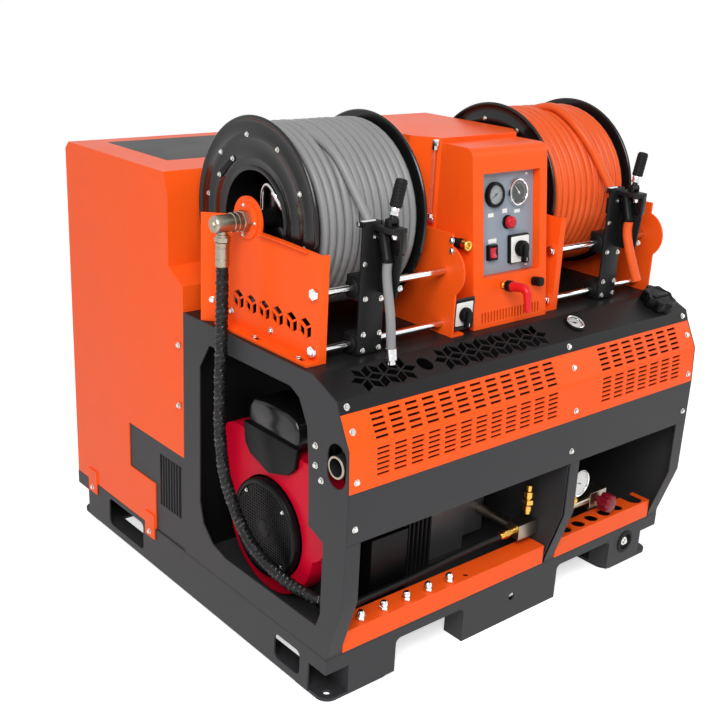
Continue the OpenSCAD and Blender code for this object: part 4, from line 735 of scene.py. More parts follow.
class JETTER_OT_reels(bpy.types.Operator):
    """Makes the two reels: rolled flanges, drums, shafts, spokes and fittings"""

    bl_idname = "jetter.reels"
    bl_label = "Make the reels"

    def execute(self, context):
        groove = 17.2
        face = [(105, 24), (105, 17), (106.5, 16), (111, 16), (113, 17.2), (114, 20), (126, 20),
                (128, 18.8), (134, 18.8), (136, 20), (166, 20), (170, 18), (173, groove), (181, groove),
                (184, 18), (188, 20), (203, 20), (207, 19.6), (209.4, 17.6), (212, 16.2), (214.6, 16.2),
                (217, 17.8), (218, 20), (217.2, 22.2), (215, 24), (113, 24), (105, 24)]
        drum = [(105, 24), (105, 312), (109, 312), (109, 24), (105, 24)]
        place = spot(LEFT_X, REEL_Y, REEL_Z) @ RIGHTWARD
        parts = [
            turned("flange", face, place, "reel", 96, True),
            turned("flange_far", [(r, FLANGE_SPAN - u) for r, u in face], place, "reel", 96, True),
            turned("drum", drum, place, "reel", 96, True),
            turned("shaft", chamfered(22, 0.4, 361.6, 2, 1.6), place, "reel", 40),
        ]
        for u in (5.4, 346.6):
            parts.append(turned("collar", chamfered(34, u, u + 10, 1.5, 1.5), place, "reel", 40))
        for u in (70, 230):
            for k in range(3):
                way = place @ shift(0, 0, u) @ turn(120 * k - 90, "Z") @ FORWARD
                parts.append(block("spoke", (-15, -4, 20), (15, 4, 107), way, "reel", 1))
        left = joined("left_reel_body", parts)
        right = copied(left, "right_reel_body", shift(RIGHT_X - LEFT_X, 0, 0))
        mount(left, "left_reel", "left_reel")
        mount(right, "right_reel", "right_reel")
        for side, x in (("left", LEFT_X), ("right", RIGHT_X)):
            place = spot(x, REEL_Y, REEL_Z) @ RIGHTWARD
            outer = ring_places(place @ shift(0, 0, groove) @ DOWNWARD, FLANGE_BOLT_R, 10, 9.7)
            inner = ring_places(place @ shift(0, 0, FLANGE_SPAN - groove), FLANGE_BOLT_R, 10, 9.7)
            stop = spot(x + 20, REEL_Y + 108.7, REEL_Z + 95.5) @ LEFTWARD @ turn(-49.8, "Z")
            strap = slab(side + "_reel_strap", rounded(80, 13, 6.4), 1.6, stop, "rubber", 0.5)
            mount(strap, side + "_reel")
            ends = [stop @ shift(u, 0, 1.6) for u in (-33, 33)]
            bolts(side + "_reel_bolts", outer + inner + ends, 4.4, side + "_reel")
            self.crimp(side, x)
        return {"FINISHED"}

    def crimp(self, side, x):
        """The bent pipe and crimp sleeve inside the bore, from the shaft to the drum wall."""
        u = x + 40
        route = [(2, 20), (2, 50), (-2, 66), (-14, 76), (-28, 72), (-44, 58)]
        points = [at(u, REEL_Y + y, REEL_Z + z) for y, z in route]
        pipe = tube(side + "_reel_pipe", points, 4.6, "zinc", 4)
        place = spot(u, REEL_Y - 38, REEL_Z + 63.5) @ turn(131, "X")
        shape = [(6.5, 0), (7.5, 1), (7.5, 16), (7, 17), (7.5, 18), (7.5, 40), (6, 41), (6, 56)]
        sleeve = turned(side + "_reel_sleeve", shape, place, "chrome", 24)
        mount(joined(side + "_reel_crimp", [pipe, sleeve]), side + "_reel")


class JETTER_OT_windings(bpy.types.Operator):
    """Winds the hoses on the reels and leads each one to its guide"""

    bl_idname = "jetter.windings"
    bl_label = "Wind the hoses"

    def execute(self, context):
        self.wind("left", LEFT_X, 20, "hose_grey")
        self.wind("right", RIGHT_X, 23, "hose_orange")
        self.lead("left", GUIDE_LEFT_X, 20, "hose_grey", (14, 25), (100, 140))
        self.lead("right", GUIDE_RIGHT_X, 23, "hose_orange", (1, 20), (80, 112))
        return {"FINISHED"}

    def around(self, x, radius, degrees):
        """A point around a reel's axis, turned from +Y towards +Z."""
        a = math.radians(degrees)
        return at(x, REEL_Y + radius * math.cos(a), REEL_Z + radius * math.sin(a))

    def wind(self, side, x, d, finish):
        """One layer of turns over a core that stands for the layers below; the core is dark rubber for
        painted shade in the grooves between the turns.
        """
        steps = 48
        start = x + 26 + d / 2
        room = 284
        middle_r = 194.6
        turns = (room - d) / d
        points = []
        for k in range(int(turns * steps) + 1):
            part = k / steps
            fade = min(1, part * 8, (turns - part) * 8)
            wave = 0.5 * math.sin(part * 2.3) + 0.35 * math.sin(part * 5.1 + 1)
            wave += 0.4 * math.sin(part * 9.7 + 2)
            radius = middle_r - d * (1 - fade) + 0.8 * wave
            points.append(self.around(start + part * d + 0.9 * wave, radius, 200 + 360 * part))
        turns_piece = tube(side + "_hose_turns", points, d * 0.475, finish, 5, False)
        # The core is dark rubber instead of the hose's colour: painted shade in the grooves between the
        # turns
        shape = [(110, 24.5), (190, 24.5), (190, 311.5), (110, 311.5), (110, 24.5)]
        place = spot(x, REEL_Y, REEL_Z) @ RIGHTWARD
        shade_core = turned(side + "_hose_shade_core", shape, place, "rubber", 72, True)
        mount(joined(side + "_hose_wound", [shade_core, turns_piece]), side + "_reel", side + "_hose")

    def lead(self, side, x, d, finish, across, lifting):
        """The strand that comes off the winding, crosses it and runs down behind the guide's plate.

        Across holds its place beside the guide at first and where it leaves the winding, in millimetres;
        lifting holds the degrees round the reel at which it starts to rise and lies on top.
        """
        first, leave = across
        begin, full = lifting
        low_r = 190
        high_r = 195 + d * 0.99
        drift_from = 118
        last = 150
        knots = []
        for k in range(19):
            degrees = begin + (last - begin) * k / 18
            share = min(1, (degrees - begin) / (full - begin))
            rise = share * share * (3 - 2 * share)
            bend = max(0, degrees - drift_from) / (last - drift_from)
            strand_x = x + first + (leave - first) * bend * bend
            knots.append(self.around(strand_x, low_r + (high_r - low_r) * rise, degrees))
        for across_x, back_y, z in ((40, 134, 1018), (42, 118, 990), (43, 114, 982)):
            knots.append(at(x + across_x, back_y + d / 2, z))
        strand = tube(side + "_hose_lead", smooth_line(knots, 0.006), d * 0.48, finish, 5, False)
        mount(strand, side + "_guide")


class JETTER_OT_guides(bpy.types.Operator):
    """Makes the two hose guides and their levers"""

    bl_idname = "jetter.guides"
    bl_label = "Make the hose guides"

    def execute(self, context):
        for side, x in (("left", GUIDE_LEFT_X), ("right", GUIDE_RIGHT_X)):
            self.guide(side, x)
            self.lever(side, x)
        return {"FINISHED"}

    def guide(self, side, x):
        """Folded plate with a flank, a moulded housing under a cap, the hose sleeve and the bearings."""
        body = side + "_guide"
        still = spot(x, 0, 0)
        front = spot(x, GUIDE_FRONT_Y, 0) @ FORWARD
        plate = [(3, 741), (63, 741), (66, 744), (66, 867), (63, 870), (55, 872), (55, 1022), (3, 1022),
                 (0, 1019), (0, 744)]
        flank = [(116, 872), (116, 1010), (50, 1010), (50, 950), (57, 876), (60, 872)]
        housing = [(111, 957), (111, 1008), (50, 1008), (50, 968), (54, 960), (60, 957)]
        cap = [(52, 51), (66, 51), (66, 111), (27, 111), (27, 62), (32, 54)]
        sleeve = [(11, 0), (13.2, 0.6), (13.6, 2), (13.6, 9), (12.5, 11), (12.5, 62)]
        hose_in = spot(x + TAIL_X, TAIL_Y, TAIL_Z) @ turn(-17, "X")
        parts = [
            slab("plate", plate, 5, front, "black", 1.2),
            slab("flank", flank, 5, spot(x + 50, 0, 0) @ SIDE_ON, "black", 0.8),
            slab("housing", housing, 16.4, spot(x + 49.6, 0, 0) @ SIDE_ON, "reel", 4, 4),
            slab("cap", cap, 12, spot(x, 0, 1004), "black", 2, 3),
            block("entry", (30, 115, 952), (54, 143, 992), still, "black", 2),
            turned("sleeve", sleeve, hose_in, "plastic", 36),
        ]
        for z, half in ((883, 25), (762, 22)):
            low = (0, GUIDE_FRONT_Y, z - half)
            high = (66, 156, z + half)
            parts.append(block("bearing", low, high, still, "black", 2))
            for side_x in (-5, 61):
                ring = [(8.4, 0), (18, 0), (20, 2), (20, 8), (18, 10), (8.4, 10), (8.4, 0)]
                parts.append(turned("bush", ring, spot(x + side_x, 135, z) @ RIGHTWARD, "rubber", 32, True))
        ear = [(72, 1014), (88, 1014), (88, 1026), (85.6, 1031.6), (80, 1034), (74.4, 1031.6), (72, 1026)]
        for side_x in (34.6, 56.4):
            parts.append(slab("ear", ear, 5, spot(x + side_x, 0, 0) @ SIDE_ON, "black", 0.8))
        for side_x in (0, 45):
            parts.append(block("arm", (side_x, 111, 1010), (side_x + 5, 130, 1022), still, "black", 1))
        mount(joined(side + "_guide_body", parts), body, body)
        roller = chamfered(6, -1.5, 51.5, 2, 0.7)
        mount(turned(side + "_guide_roller", roller, spot(x, 128, 1016) @ RIGHTWARD, "chrome", 28), body)
        heads = [(34, 990), (10, 936), (15, 862), (58, 857), (14, 785), (58, 782), (14, 750), (58, 750)]
        places = [spot(x + head_x, 111, z) @ FORWARD for head_x, z in heads]
        places.append(spot(x + 53, 50, 894) @ FORWARD)
        bolts(side + "_guide_bolts", places, 4.8, body)
        clamp = [(9.4, 0), (9.4, 3), (7.4, 6), (4, 7.4), (1, 7.8)]
        mount(turned(side + "_clamp_bolt", clamp, spot(x + 50, 72, 997) @ LEFTWARD, "chrome", 32), body)

    def lever(self, side, x):
        """Pin and hub between the ears, a short stem with a ferrule and a ribbed grip."""
        body = side + "_guide_lever"
        pivot = spot(x + 48, 80, 1026)
        lean = pivot @ turn(14, "Y")
        parts = [
            turned("pin", chamfered(6, -13.4, 13.4, 1, 0.8), pivot @ RIGHTWARD, "black", 24),
            turned("hub", chamfered(8, -8, 8, 1, 0.6), pivot @ RIGHTWARD, "black", 28),
            turned("stem", [(7.6, 2), (7, 6), (6, 12), (6, 13)], lean, "black", 20),
        ]
        mount(joined(side + "_lever_hub", parts), body, body)
        ferrule = [(8.5, 12), (10, 13), (10, 17), (9, 18), (9, 20), (10, 21), (10, 27), (9, 29)]
        mount(turned(side + "_lever_ferrule", ferrule, lean, "chrome", 28), body)
        grip = [(10.4, 28.6), (12.4, 30)]
        for k in range(6):
            h = 32 + k * 7.4
            grip += [(13, h), (13, h + 5.2), (12.3, h + 5.9), (12.3, h + 6.8)]
        grip += [(13, 77), (12.4, 82), (10.6, 85.4), (6, 86.8), (1, 87)]
        mount(turned(side + "_lever_grip", grip, lean, "rubber", 36), body)


class JETTER_OT_swivels(bpy.types.Operator):
    """Makes the swivels at the outer ends of the reels"""

    bl_idname = "jetter.swivels"
    bl_label = "Make the swivels"

    def execute(self, context):
        ear_bolt_r = 33
        ends = (("left", LEFT_X, LEFTWARD, -1), ("right", RIGHT_X + UNIT_L, RIGHTWARD, 1))
        for side, x, way, sign in ends:
            axis = spot(x, REEL_Y, REEL_Z) @ way
            down = spot(x + sign * 62, REEL_Y, REEL_Z - 18) @ DOWNWARD
            barrel = [(19, 20), (21, 20.5), (21, 30), (19.4, 31), (19.4, 34), (21, 35), (21, 41), (19, 42),
                      (19, 79), (18, 84), (16, 86)]
            ferrule = [(13, 21), (15, 22), (15, 30), (14, 31), (14, 33), (15, 34), (15, 56), (14.2, 57),
                       (15, 58), (15, 72), (13.4, 74)]
            parts = [
                turned("nut", chamfered(25, 4, 20, 2, 1.4), axis, "stainless", 6),
                turned("barrel", barrel, axis, "stainless", 40),
                turned("end_screw", [(7, 85), (7, 87.5), (6, 88.5)], axis, "stainless", 6),
                turned("neck", [(11, -6), (11, 4), (14, 5), (14, 20)], down, "stainless", 32),
                turned("neck_nut", chamfered(17, 9, 21, 1.6), down, "stainless", 6),
                turned("ferrule", ferrule, down, "stainless", 32),
            ]
            mount(joined(side + "_swivel_body", parts), "frame", side + "_swivel")
            plate = [(38.6, 0), (40, 1), (40, 3.2), (39, 4)]
            mount(turned(side + "_swivel_plate", plate, axis, "orange", 48))
            ear = []
            for degrees in (75, 180, 285):
                a = math.radians(degrees)
                y = REEL_Y + ear_bolt_r * math.cos(a)
                ear.append(spot(x + sign * 3.8, y, REEL_Z + ear_bolt_r * math.sin(a)) @ way)
            bolts(side + "_ear_bolts", ear, 3.2)
        return {"FINISHED"}


class JETTER_OT_dials(bpy.types.Operator):
    """Makes the dials of the control panel, the fuel dial and the pressure gauge"""

    bl_idname = "jetter.dials"
    bl_label = "Make the dials"

    def execute(self, context):
        self.dial("hour_dial", on_panel(86, 298), 29, 12, 8, ("plastic", "dial", "plastic"), 210,
                  "panel_instruments")
        self.dial("water_gauge", on_panel(161, 298), 31, 13, 5, ("chrome", "plastic", "enamel"), 130)
        fuel = on_slope(764, 45)
        self.dial("fuel_dial", fuel, 27, 7, 7, ("plastic", "enamel", "plastic"), 150)
        ring = [(21.6, 5), (22.6, 6), (22.4, 7.6), (21, 8.2), (19.6, 7.6), (19.4, 5), (21.6, 5)]
        mount(turned("fuel_dial_ring", ring, fuel, "chrome", 48, True))
        self.dial("pressure_gauge", spot(855, 65, 279) @ FORWARD, 38, 30, 5,
                  ("chrome", "enamel", "plastic"), 160, "pressure_gauge")
        foot = spot(855, 50, 219)
        stem = turned("pressure_gauge_stem", [(8, 0), (8, 26)], foot, "brass", 24)
        nut = turned("nut", chamfered(12, 4, 15), foot, "brass", 6)
        mount(joined("pressure_gauge_stem", [stem, nut]))
        return {"FINISHED"}

    def dial(self, name, place, r, top, rim, finishes, needle_deg, *nodes):
        """A round dial: case with a rolled bezel, plate, marks, needle and glass.

        It has its outer radius, its height, its bezel's width and the finishes of bezel, plate and marks.
        """
        bezel, plate, ink = finishes
        inner = r - rim
        case = [(r - 2, 0), (r, 1.5), (r, top - 3), (r - 1, top - 0.8), (r - 2.6, top),
                (inner + 1.2, top - 0.6), (inner, top - 2.6), (inner, top - 5), (r * 0.3, top - 5)]
        mount(turned(name + "_bezel", case, place, bezel, 48), "frame", *nodes)
        face = [(inner - 0.4, top - 5), (inner - 0.4, top - 4.2), (inner - 0.8, top - 4)]
        mount(turned(name + "_plate", face, place, plate, 48))
        marks = []
        for k in range(21):
            long = 4.4 if k % 5 == 0 else 2.6
            way = place @ shift(0, 0, top - 4) @ turn(225 - 13.5 * k, "Z")
            marks.append(block("mark", (inner - 2.6 - long, -0.4, 0), (inner - 2.6, 0.4, 0.25), way, ink, 0))
        needle = slab("needle", [(-6, -1.3), (inner * 0.74, -0.4), (inner * 0.74, 0.4), (-6, 1.3)], 0.5,
                      place @ shift(0, 0, top - 3.4) @ turn(needle_deg, "Z"), ink, 0)
        hub = turned("needle_hub", [(2.6, top - 4), (2.6, top - 2.6), (2, top - 2.2)], place, ink, 20)
        mount(joined(name + "_marks", marks + [needle, hub]))
        glass = [(inner, top - 1.9), (inner, top - 1.3), (r * 0.5, top - 0.9), (r * 0.1, top - 0.8)]
        mount(turned(name + "_glass", glass, place, "glass", 48))


class JETTER_OT_switches(bpy.types.Operator):
    """Makes the stop button, rocker, cam switch and selector with their plates"""

    bl_idname = "jetter.switches"
    bl_label = "Make the switches"

    def execute(self, context):
        stop = on_panel(132, 232)
        mount(turned("stop_collar", [(16, 0), (16, 3.2), (15.2, 4), (12, 4)], stop, "plastic", 40))
        head = [(6, -3), (6, 6.9), (13.4, 7), (14, 8), (14, 15), (13, 18), (10, 20.2), (5, 20.8), (1, 20.9)]
        mount(turned("stop_head", head, stop, "red", 40), "stop_button", "stop_button")
        self.rocker()
        self.cam()
        self.selector()
        plates = []
        for x, z, w, h in ((78, 252, 18, 9), (124, 258, 16, 10), (166, 254, 19, 8), (83, 193, 27, 10)):
            plates.append(slab("tag", rounded(w, h, 1.2), 0.6, on_panel(x, z), "enamel", 0.15, 1))
        mount(joined("panel_tags", plates))
        corners = [on_panel(x, z) for x in (50, 196) for z in (126, 338)]
        bolts("panel_corner_screws", corners, 2.8)
        return {"FINISHED"}

    def rocker(self):
        """The rocker and its frame."""
        place = on_panel(77, 168)
        rim = slab("rocker_frame", rounded(30, 36, 3), 10, place, "plastic", 1)
        well = slab("rocker_well", rounded(21, 27, 1), 20, place @ shift(0, 0, -5), "plastic", 0)
        pick(well, rim)
        cut = rim.modifiers.new("well", "BOOLEAN")
        cut.object = well
        bpy.ops.object.modifier_apply(modifier=cut.name)
        bpy.data.objects.remove(well)
        mount(rim)
        side = [(-11.4, -2), (11.4, -2), (11.4, 6.8), (6, 4.6), (0, 3.8), (-6, 5.6), (-11.4, 9)]
        key = slab("rocker_key", side, 18.4, place @ shift(-9.2, 0, 5) @ SIDE_ON, "red", 0.8)
        mount(key, "rocker_switch", "rocker_switch")

    def cam(self):
        """The cam switch: black housing, white plate and a black knob with a bar."""
        place = on_panel(166, 168)
        mount(slab("cam_housing", rounded(66, 66, 4), 8, place, "plastic", 1))
        mount(slab("cam_plate", rounded(60, 60, 3), 1.4, place @ shift(1.5, -1.5, 8), "enamel", 0.3))
        self.knob("cam_knob", place @ shift(0, 0, 9.8), 18, 16, 32, "cam_switch")

    def selector(self):
        """The selector beside the control box."""
        place = spot(446, 111, 783) @ FORWARD
        mount(slab("selector_housing", rounded(68, 74, 5), 2, place, "charcoal", 0.6))
        mount(slab("selector_frame", rounded(60, 62, 4), 2, place @ shift(0, 2, 1.4), "plastic", 0.6))
        mount(slab("selector_plate", rounded(52, 54, 3), 1.0, place @ shift(1, 1, 3.4), "enamel", 0.3))
        self.knob("selector_bar", place @ shift(0, 0, 4.6), 16, 13, 28, "selector_knob")

    def knob(self, name, place, r, depth, reach, node):
        """A knob with ribs round its skirt, a bar that hangs to one side and a white pointer."""
        edge = [(r, 0), (r, depth - 4), (r - 1.6, depth - 1), (r - 5, depth)]
        skirt = turned(name, edge, place, "plastic", 48)
        ribs = []
        for k in range(20):
            way = place @ turn(18 * k, "Z")
            ribs.append(block("rib", (r - 1.5, -0.8, 1), (r + 0.9, 0.8, depth - 3), way, "plastic", 0.4))
        shape = [(-7.5, 3 - reach), (-5, -reach), (5, -reach), (7.5, 3 - reach), (7, 6), (4, 10), (-4, 10),
                 (-7, 6)]
        bar = slab("bar", shape, 13, place @ shift(0, 0, depth - 7), "plastic", 1.6, 3)
        mount(joined(name, [skirt, bar] + ribs), node, node)
        low = (-0.8, 4 - reach, depth + 5.8)
        high = (0.8, 12 - reach, depth + 6.2)
        mount(block(name + "_line", low, high, place, "enamel", 0), node)


class JETTER_OT_valves(bpy.types.Operator):
    """Makes the red valve lever, the brass fittings and the drain port"""

    bl_idname = "jetter.valves"
    bl_label = "Make the valves"

    def execute(self, context):
        face = on_panel(94, 93, 0)
        socket = turned("valve_socket", [(11, 15.6), (13, 17), (13, 28.6), (11.6, 30)], face, "plastic", 32)
        gland = slab("gland_plug", rounded(21, 21, 7), 26, on_panel(200, 88, -1), "plastic", 3, 3)
        mount(joined("valve_sockets", [socket, gland]))
        arm = face @ shift(0, 0, 30.4)
        reach = [(0, 0), (0, 14), (0, 28), (-1.5, 36), (-6, 42.5), (-13, 45.5), (-22, 46), (-36, 46),
                 (-49, 46)]
        sizes = [11, 10.8, 10.6, 10.6, 10.4, 9.8, 9.2, 8.2, 7]
        points = [arm @ (Vector((0, y, z)) * MM) for y, z in reach]
        handle = cord_curve("valve_handle", points, 1, "vinyl", 7)
        for knot, size in zip(handle.data.splines[0].bezier_points, sizes):
            knot.radius = size
        pick(handle)
        bpy.ops.object.convert(target="MESH")
        handle = named("valve_handle")
        bpy.ops.object.shade_smooth_by_angle(angle=math.radians(HANDLE_SHADE_DEG))
        cap = turned("valve_tip", [(7, -0.5), (6.8, 2), (5, 4.4), (1.5, 5.2)],
                     arm @ shift(0, -49, 46) @ FORWARD, "vinyl", 28)
        collar = turned("valve_collar", [(10.4, 0), (11.8, 1), (11.8, 7), (11, 9)], arm, "vinyl", 32)
        lever = joined("valve_handle", [collar, cap, handle])
        lever["finish"] = "vinyl"
        mount(lever, "valve_lever", "valve_lever")
        union = spot(467.6, 146, 931) @ FORWARD
        body = [(9, -34), (10.4, -33), (10.4, -14), (12, -13), (12, 0.4), (10, 1)]
        mount(turned("side_union_body", body, union, "rubber", 32))
        feed = spot(574, 50, 210) @ RIGHTWARD
        riser = spot(664, 44, 250)
        mouth = [(11, 0), (12, 1), (12, 14.6), (10.8, 16), (7.2, 16), (6.2, 15), (6, 8), (1, 8)]
        pipe = [(9, 0), (9, 8), (12, 9), (12, 22), (9, 23), (9, 44), (12.5, 45), (12.5, 60),
                (8, 61), (8, 76)]
        parts = [
            turned("nipple", [(7, 7), (7, 16)], face, "brass", 28),
            turned("nipple_hex", chamfered(10.5, 0, 8, 1.1), face, "brass", 6),
            turned("side_union", mouth, union, "brass", 36),
            turned("feed", [(9, 0), (9, 50)], feed, "brass", 28),
            turned("feed_nut", chamfered(12, 16, 33), feed, "brass", 6),
            turned("feed_ring", [(10.5, 1), (10.5, 13)], feed, "brass", 28),
            block("coupling", (46, 32, 170), (80, 66, 210), spot(0, 0, 0), "brass", 3),
            turned("riser", pipe, riser, "brass", 28),
            turned("riser_ring", chamfered(15, 26, 39), riser, "brass", 6),
        ]
        mount(joined("brass_set", parts), "frame", "brass_fittings")
        port = spot(1036.5, 0, 70) @ FORWARD
        ring = [(24, -6), (29.6, -4), (29.6, 0), (32, 0), (32, 2), (30, 3), (24, 3), (22, 0), (22, -4)]
        mount(turned("drain_port_ring", ring, port, "rubber", 40))
        plug = [(12, -5.6), (12, -2), (11, -1), (7, -0.6), (7, 3), (6, 4)]
        mount(turned("drain_port_plug", plug, port, "zinc", 32))
        return {"FINISHED"}


class JETTER_OT_fuel(bpy.types.Operator):
    """Makes the lobed fuel cap"""

    bl_idname = "jetter.fuel"
    bl_label = "Make the fuel cap"

    def execute(self, context):
        place = on_slope(1086, 44) @ shift(0, 0, 0.4)
        edge = [(41, 0), (42, 2), (42, 25), (40, 29), (36, 30), (32, 29), (30, 27.4), (6, 28.6)]
        cap = turned("fuel_cap_lobes", edge, place, "plastic", 120)
        lobed(cap, place, 8, 3.2, 39, 29)
        bar = slab("fuel_bar", rounded(58, 12, 5), 4, place @ shift(0, 0, 27.4), "plastic", 1.5)
        mount(joined("fuel_cap_lobes", [cap, bar]), "fuel_cap", "fuel_cap")
        return {"FINISHED"}


class JETTER_OT_engine(bpy.types.Operator):
    """Finishes the shroud and makes the screen, air cleaner, exhaust ring and the dark sheets of painted
    shade in the cabinet
    """

    bl_idname = "jetter.engine"
    bl_label = "Make the engine"

    def execute(self, context):
        keep_node("engine_shroud", "shroud", 9, 4, 60)
        self.screen()
        self.cleaner()
        ring = [(19.6, 0), (23.8, 0), (24.4, 0.8), (23.8, 2.4), (19.6, 2.4), (19.6, 0)]
        mount(turned("exhaust_ring", ring, spot(-2, -9, 572) @ LEFTWARD, "stainless", 40, True))
        # Painted shade: dark sheets in the bays, behind the louvres and in the right exhaust slot stand
        # where there is only shade, and keep daylight from behind out
        shade_sheets = [block("shade_sheets", (low, 546, 124), (high, 549, 728), spot(0, 0, 0), "rubber", 0)
                  for low, high in ((9, 690), (736, 1161))]
        end = [(-33, 522), (-33, 606), (-27, 624), (26, 624), (26, 522)]
        shade_sheets.append(slab("painted_shade_end", end, 3, spot(1160, 0, 0) @ SIDE_ON, "rubber", 0))
        mount(joined("painted_shade_sheets", shade_sheets))
        return {"FINISHED"}

    def screen(self):
        """The rotating screen: a rolled rim round a perforated plate, a hub and the crank."""
        place = spot(46, 300, 285) @ RIGHTWARD
        rolled = [(104, 4), (106, 1), (111, 0), (116, 1.4), (118, 4), (118, 17), (116, 18), (108, 18),
                  (106, 10), (104, 4)]
        rim = turned("fan_rim", rolled, place, "plastic", 72, True)
        clear_selection()
        cells = 30
        bpy.ops.mesh.primitive_grid_add(
            x_subdivisions=cells, y_subdivisions=cells, size=216 * MM, location=(0, 0, 0),
            enter_editmode=True
        )
        plate = named("fan_net")
        mesh = bmesh.from_edit_mesh(plate.data)
        net_r = 107 * MM
        outside = [f for f in mesh.faces if f.calc_center_median().length > net_r]
        bmesh.ops.delete(mesh, geom=outside, context="FACES")
        bmesh.update_edit_mesh(plate.data)
        bpy.ops.mesh.select_all(action="SELECT")
        bpy.ops.mesh.inset(thickness=1.5 * MM, use_individual=True)
        bpy.ops.mesh.delete(type="FACE")
        bpy.ops.object.mode_set(mode="OBJECT")
        thick = plate.modifiers.new("thick", "SOLIDIFY")
        thick.thickness = 2 * MM
        bpy.ops.object.modifier_apply(modifier=thick.name)
        dress(plate, place @ shift(0, 0, 6), "plastic")
        crank = [(16, 5), (40, 5), (42, 7), (42, 16), (40, 18), (16, 18), (16, 114)]
        hub = turned("fan_hub", crank, place, "plastic", 48)
        boss = turned("fan_boss", [(22, 5), (20, 2.5), (8, 1.6)], place, "plastic", 32)
        disc = [(30, 15), (112, 15), (112, 17), (30, 17), (30, 15)]
        back = turned("fan_back", disc, place, "plastic", 48, True)
        mount(joined("engine_screen", [rim, plate, hub, boss, back]), "engine_fan", "engine_fan")
        heads = ring_places(place @ shift(0, 0, 2.6) @ DOWNWARD, 98, 4, 45)
        bolts("engine_screen_bolts", heads, 3.6, "engine_fan")

    def cleaner(self):
        """The air cleaner's black hood, crowned, over a pointed cover; the badge place is bare."""
        side = [(197, 510), (387, 510), (387, 562), (368, 582), (322, 587), (242, 587), (214, 579),
                (197, 560)]
        hood = slab("cleaner_hood", side, 242, spot(60, 0, 0) @ SIDE_ON, "reel", 12, 4)
        apron = [(190, 520), (392, 520), (384, 470), (364, 448), (292, 426), (220, 448), (198, 470)]
        cover = slab("cleaner_apron", apron, 14, spot(52, 0, 0) @ SIDE_ON, "plastic", 3, 3)
        mount(joined("air_cleaner_hood", [hood, cover]), "frame", "air_cleaner")


class JETTER_OT_knob(bpy.types.Operator):
    """Makes the unloader's red hand knob and the spare nozzles"""

    bl_idname = "jetter.knob"
    bl_label = "Make the hand knob and nozzles"

    def execute(self, context):
        place = spot(945, -6, 210) @ BACKWARD
        grip = [(8, -0.5), (17, 0), (22, 3), (23, 6), (23, 28), (20, 33), (9, 34), (8, 46), (8, 68)]
        # The grip takes the darker red, which is painted shade
        knob = turned("unloader_grip", grip, place, "red_in_shade", 96)
        lobed(knob, place, 8, 2.6, 19, 70)
        mount(knob, "unloader_knob", "unloader_knob")
        first = spot(106, 16.5, 170)
        hexagon = turned("nozzle", chamfered(11, 0, 12), first, "chrome", 6)
        point = [(7, -26), (7, -1), (7.4, 12), (9, 13), (9, 16), (8, 20), (5.5, 23.4), (2, 24)]
        tip = turned("nozzle_tip", point, first, "chrome", 28)
        one = joined("nozzle", [hexagon, tip])
        rest = [copied(one, f"nozzle_{k}", shift(NOZZLE_PITCH * k, 0, 0)) for k in range(1, NOZZLE_COUNT)]
        nozzles = joined("nozzle_row", rest + [one])
        mount(nozzles, "frame", "spare_nozzles")
        return {"FINISHED"}


class JETTER_OT_level(bpy.types.Operator):
    """Makes the level tube on the tower"""

    bl_idname = "jetter.level"
    bl_label = "Make the level tube"

    def execute(self, context):
        low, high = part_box("level_tube")
        centre = Vector(((low.x + high.x) / 2, (low.y + high.y) / 2, low.z))
        place = Matrix.Translation(centre) @ turn(-57.2, "Z")
        glass = turned("level_glass", [(5, 12), (5, 178)], place @ shift(-2, 0, 0), "clear", 24)
        mount(glass, "frame", "level_tube")
        ends = []
        for z in (0, 176):
            ends.append(block("level_block", (-7, -7, z), (7, 7, z + 14), place, "zinc", 1.5))
            start, stop = (13, 22) if z == 0 else (-9, 1)
            ends.append(turned("level_nut", [(6.6, start), (6.6, stop)], place @ shift(-2, 0, z), "zinc", 6))
        mount(joined("level_fittings", ends))
        return {"FINISHED"}


class JETTER_OT_bolts(bpy.types.Operator):
    """Sets the bolts on the cabinet, the brackets and the tank, and folds the brackets' lips"""

    bl_idname = "jetter.bolts"
    bl_label = "Set the bolts"

    def execute(self, context):
        size = context.scene.jetter_sizes.bolt
        middle = Vector((0, 0, 0.5))
        places = []
        for centre, axis in solids_of("panel_screws"):
            out = axis if axis.dot(centre - middle) > 0 else -axis
            if abs(out.z) > 0.95:
                out = Vector((0, 0, 1))
            base = centre - out * 2 * MM
            places.append(Matrix.Translation(base) @ out.to_track_quat("Z", "Y").to_matrix().to_4x4())
        bolts("cabinet_bolts", places, size, "frame", "panel_screws")
        rods = [spot(x, y, z) @ way for x, way in ((LEFT_X, LEFTWARD), (LEFT_X + UNIT_L, RIGHTWARD),
                                                 (RIGHT_X, LEFTWARD), (RIGHT_X + UNIT_L, RIGHTWARD))
                for y, z in ((282, 765), (430, 770))]
        rods += [spot(LEFT_X + UNIT_L - 5, y, z) @ LEFTWARD for y, z in ((118, 954), (116, 932))]
        rods.append(spot(22, 475, 788) @ turn(-45, "Z") @ FORWARD)
        bolts("bracket_bolts", rods, size)
        bolts("tank_bolts", [spot(-4, 576, z) @ LEFTWARD for z in (505, 656)], size)
        self.lips()
        return {"FINISHED"}

    def lips(self):
        """The folded lips along the top edges of the reel brackets."""
        edge = [(160, 965.2), (250, 967.8), (321, 967.8), (321, 964.6), (250, 964.6), (160, 962)]
        one = slab("lip", edge, 9.8, spot(LEFT_X - 9.6, 0, 0) @ SIDE_ON, "orange", 0.8)
        other = copied(one, "lip_right", shift(RIGHT_X - LEFT_X, 0, 0))
        mount(joined("bracket_lips", [other, one]))


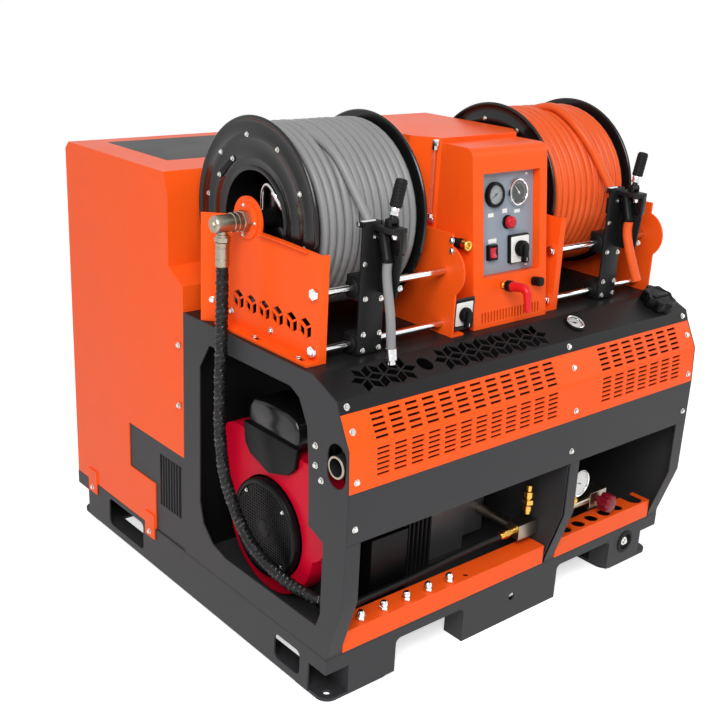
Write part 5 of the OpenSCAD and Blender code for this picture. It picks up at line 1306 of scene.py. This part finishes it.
class JETTER_PT_panel(bpy.types.Panel):
    """Lists the steps and the values in the 3D view's sidebar"""

    bl_idname = "JETTER_PT_panel"
    bl_label = "Drain jetter"
    bl_space_type = "VIEW_3D"
    bl_region_type = "UI"
    bl_category = "Jetter"

    def draw(self, context):
        for group in (context.scene.jetter_colours, context.scene.jetter_sizes):
            for key in group.__annotations__:
                self.layout.prop(group, key)
        for step in STEPS:
            self.layout.operator(step.bl_idname)


STEPS = (
    JETTER_OT_finishes, JETTER_OT_stage, JETTER_OT_cords, JETTER_OT_sheet_metal, JETTER_OT_reels,
    JETTER_OT_windings, JETTER_OT_guides, JETTER_OT_swivels, JETTER_OT_dials, JETTER_OT_switches,
    JETTER_OT_valves, JETTER_OT_fuel, JETTER_OT_engine, JETTER_OT_knob, JETTER_OT_level, JETTER_OT_bolts,
)
CLASSES = (JETTER_PG_colours, JETTER_PG_sizes, *STEPS, JETTER_PT_panel)


def register():
    """Registers the classes and the two groups of values."""
    for kind in CLASSES:
        bpy.utils.register_class(kind)
    bpy.types.Scene.jetter_colours = PointerProperty(type=JETTER_PG_colours)
    bpy.types.Scene.jetter_sizes = PointerProperty(type=JETTER_PG_sizes)


def unregister():
    """Takes the classes and the values away again."""
    del bpy.types.Scene.jetter_sizes
    del bpy.types.Scene.jetter_colours
    for kind in reversed(CLASSES):
        bpy.utils.unregister_class(kind)


def main():
    """Dresses the frame step by step."""
    register()
    bpy.ops.jetter.finishes()
    bpy.ops.jetter.stage()
    bpy.ops.jetter.cords()
    bpy.ops.jetter.sheet_metal()
    bpy.ops.jetter.reels()
    bpy.ops.jetter.windings()
    bpy.ops.jetter.guides()
    bpy.ops.jetter.swivels()
    bpy.ops.jetter.dials()
    bpy.ops.jetter.switches()
    bpy.ops.jetter.valves()
    bpy.ops.jetter.fuel()
    bpy.ops.jetter.engine()
    bpy.ops.jetter.knob()
    bpy.ops.jetter.level()
    bpy.ops.jetter.bolts()
    clear_selection()


if __name__ == "__main__":
    main()
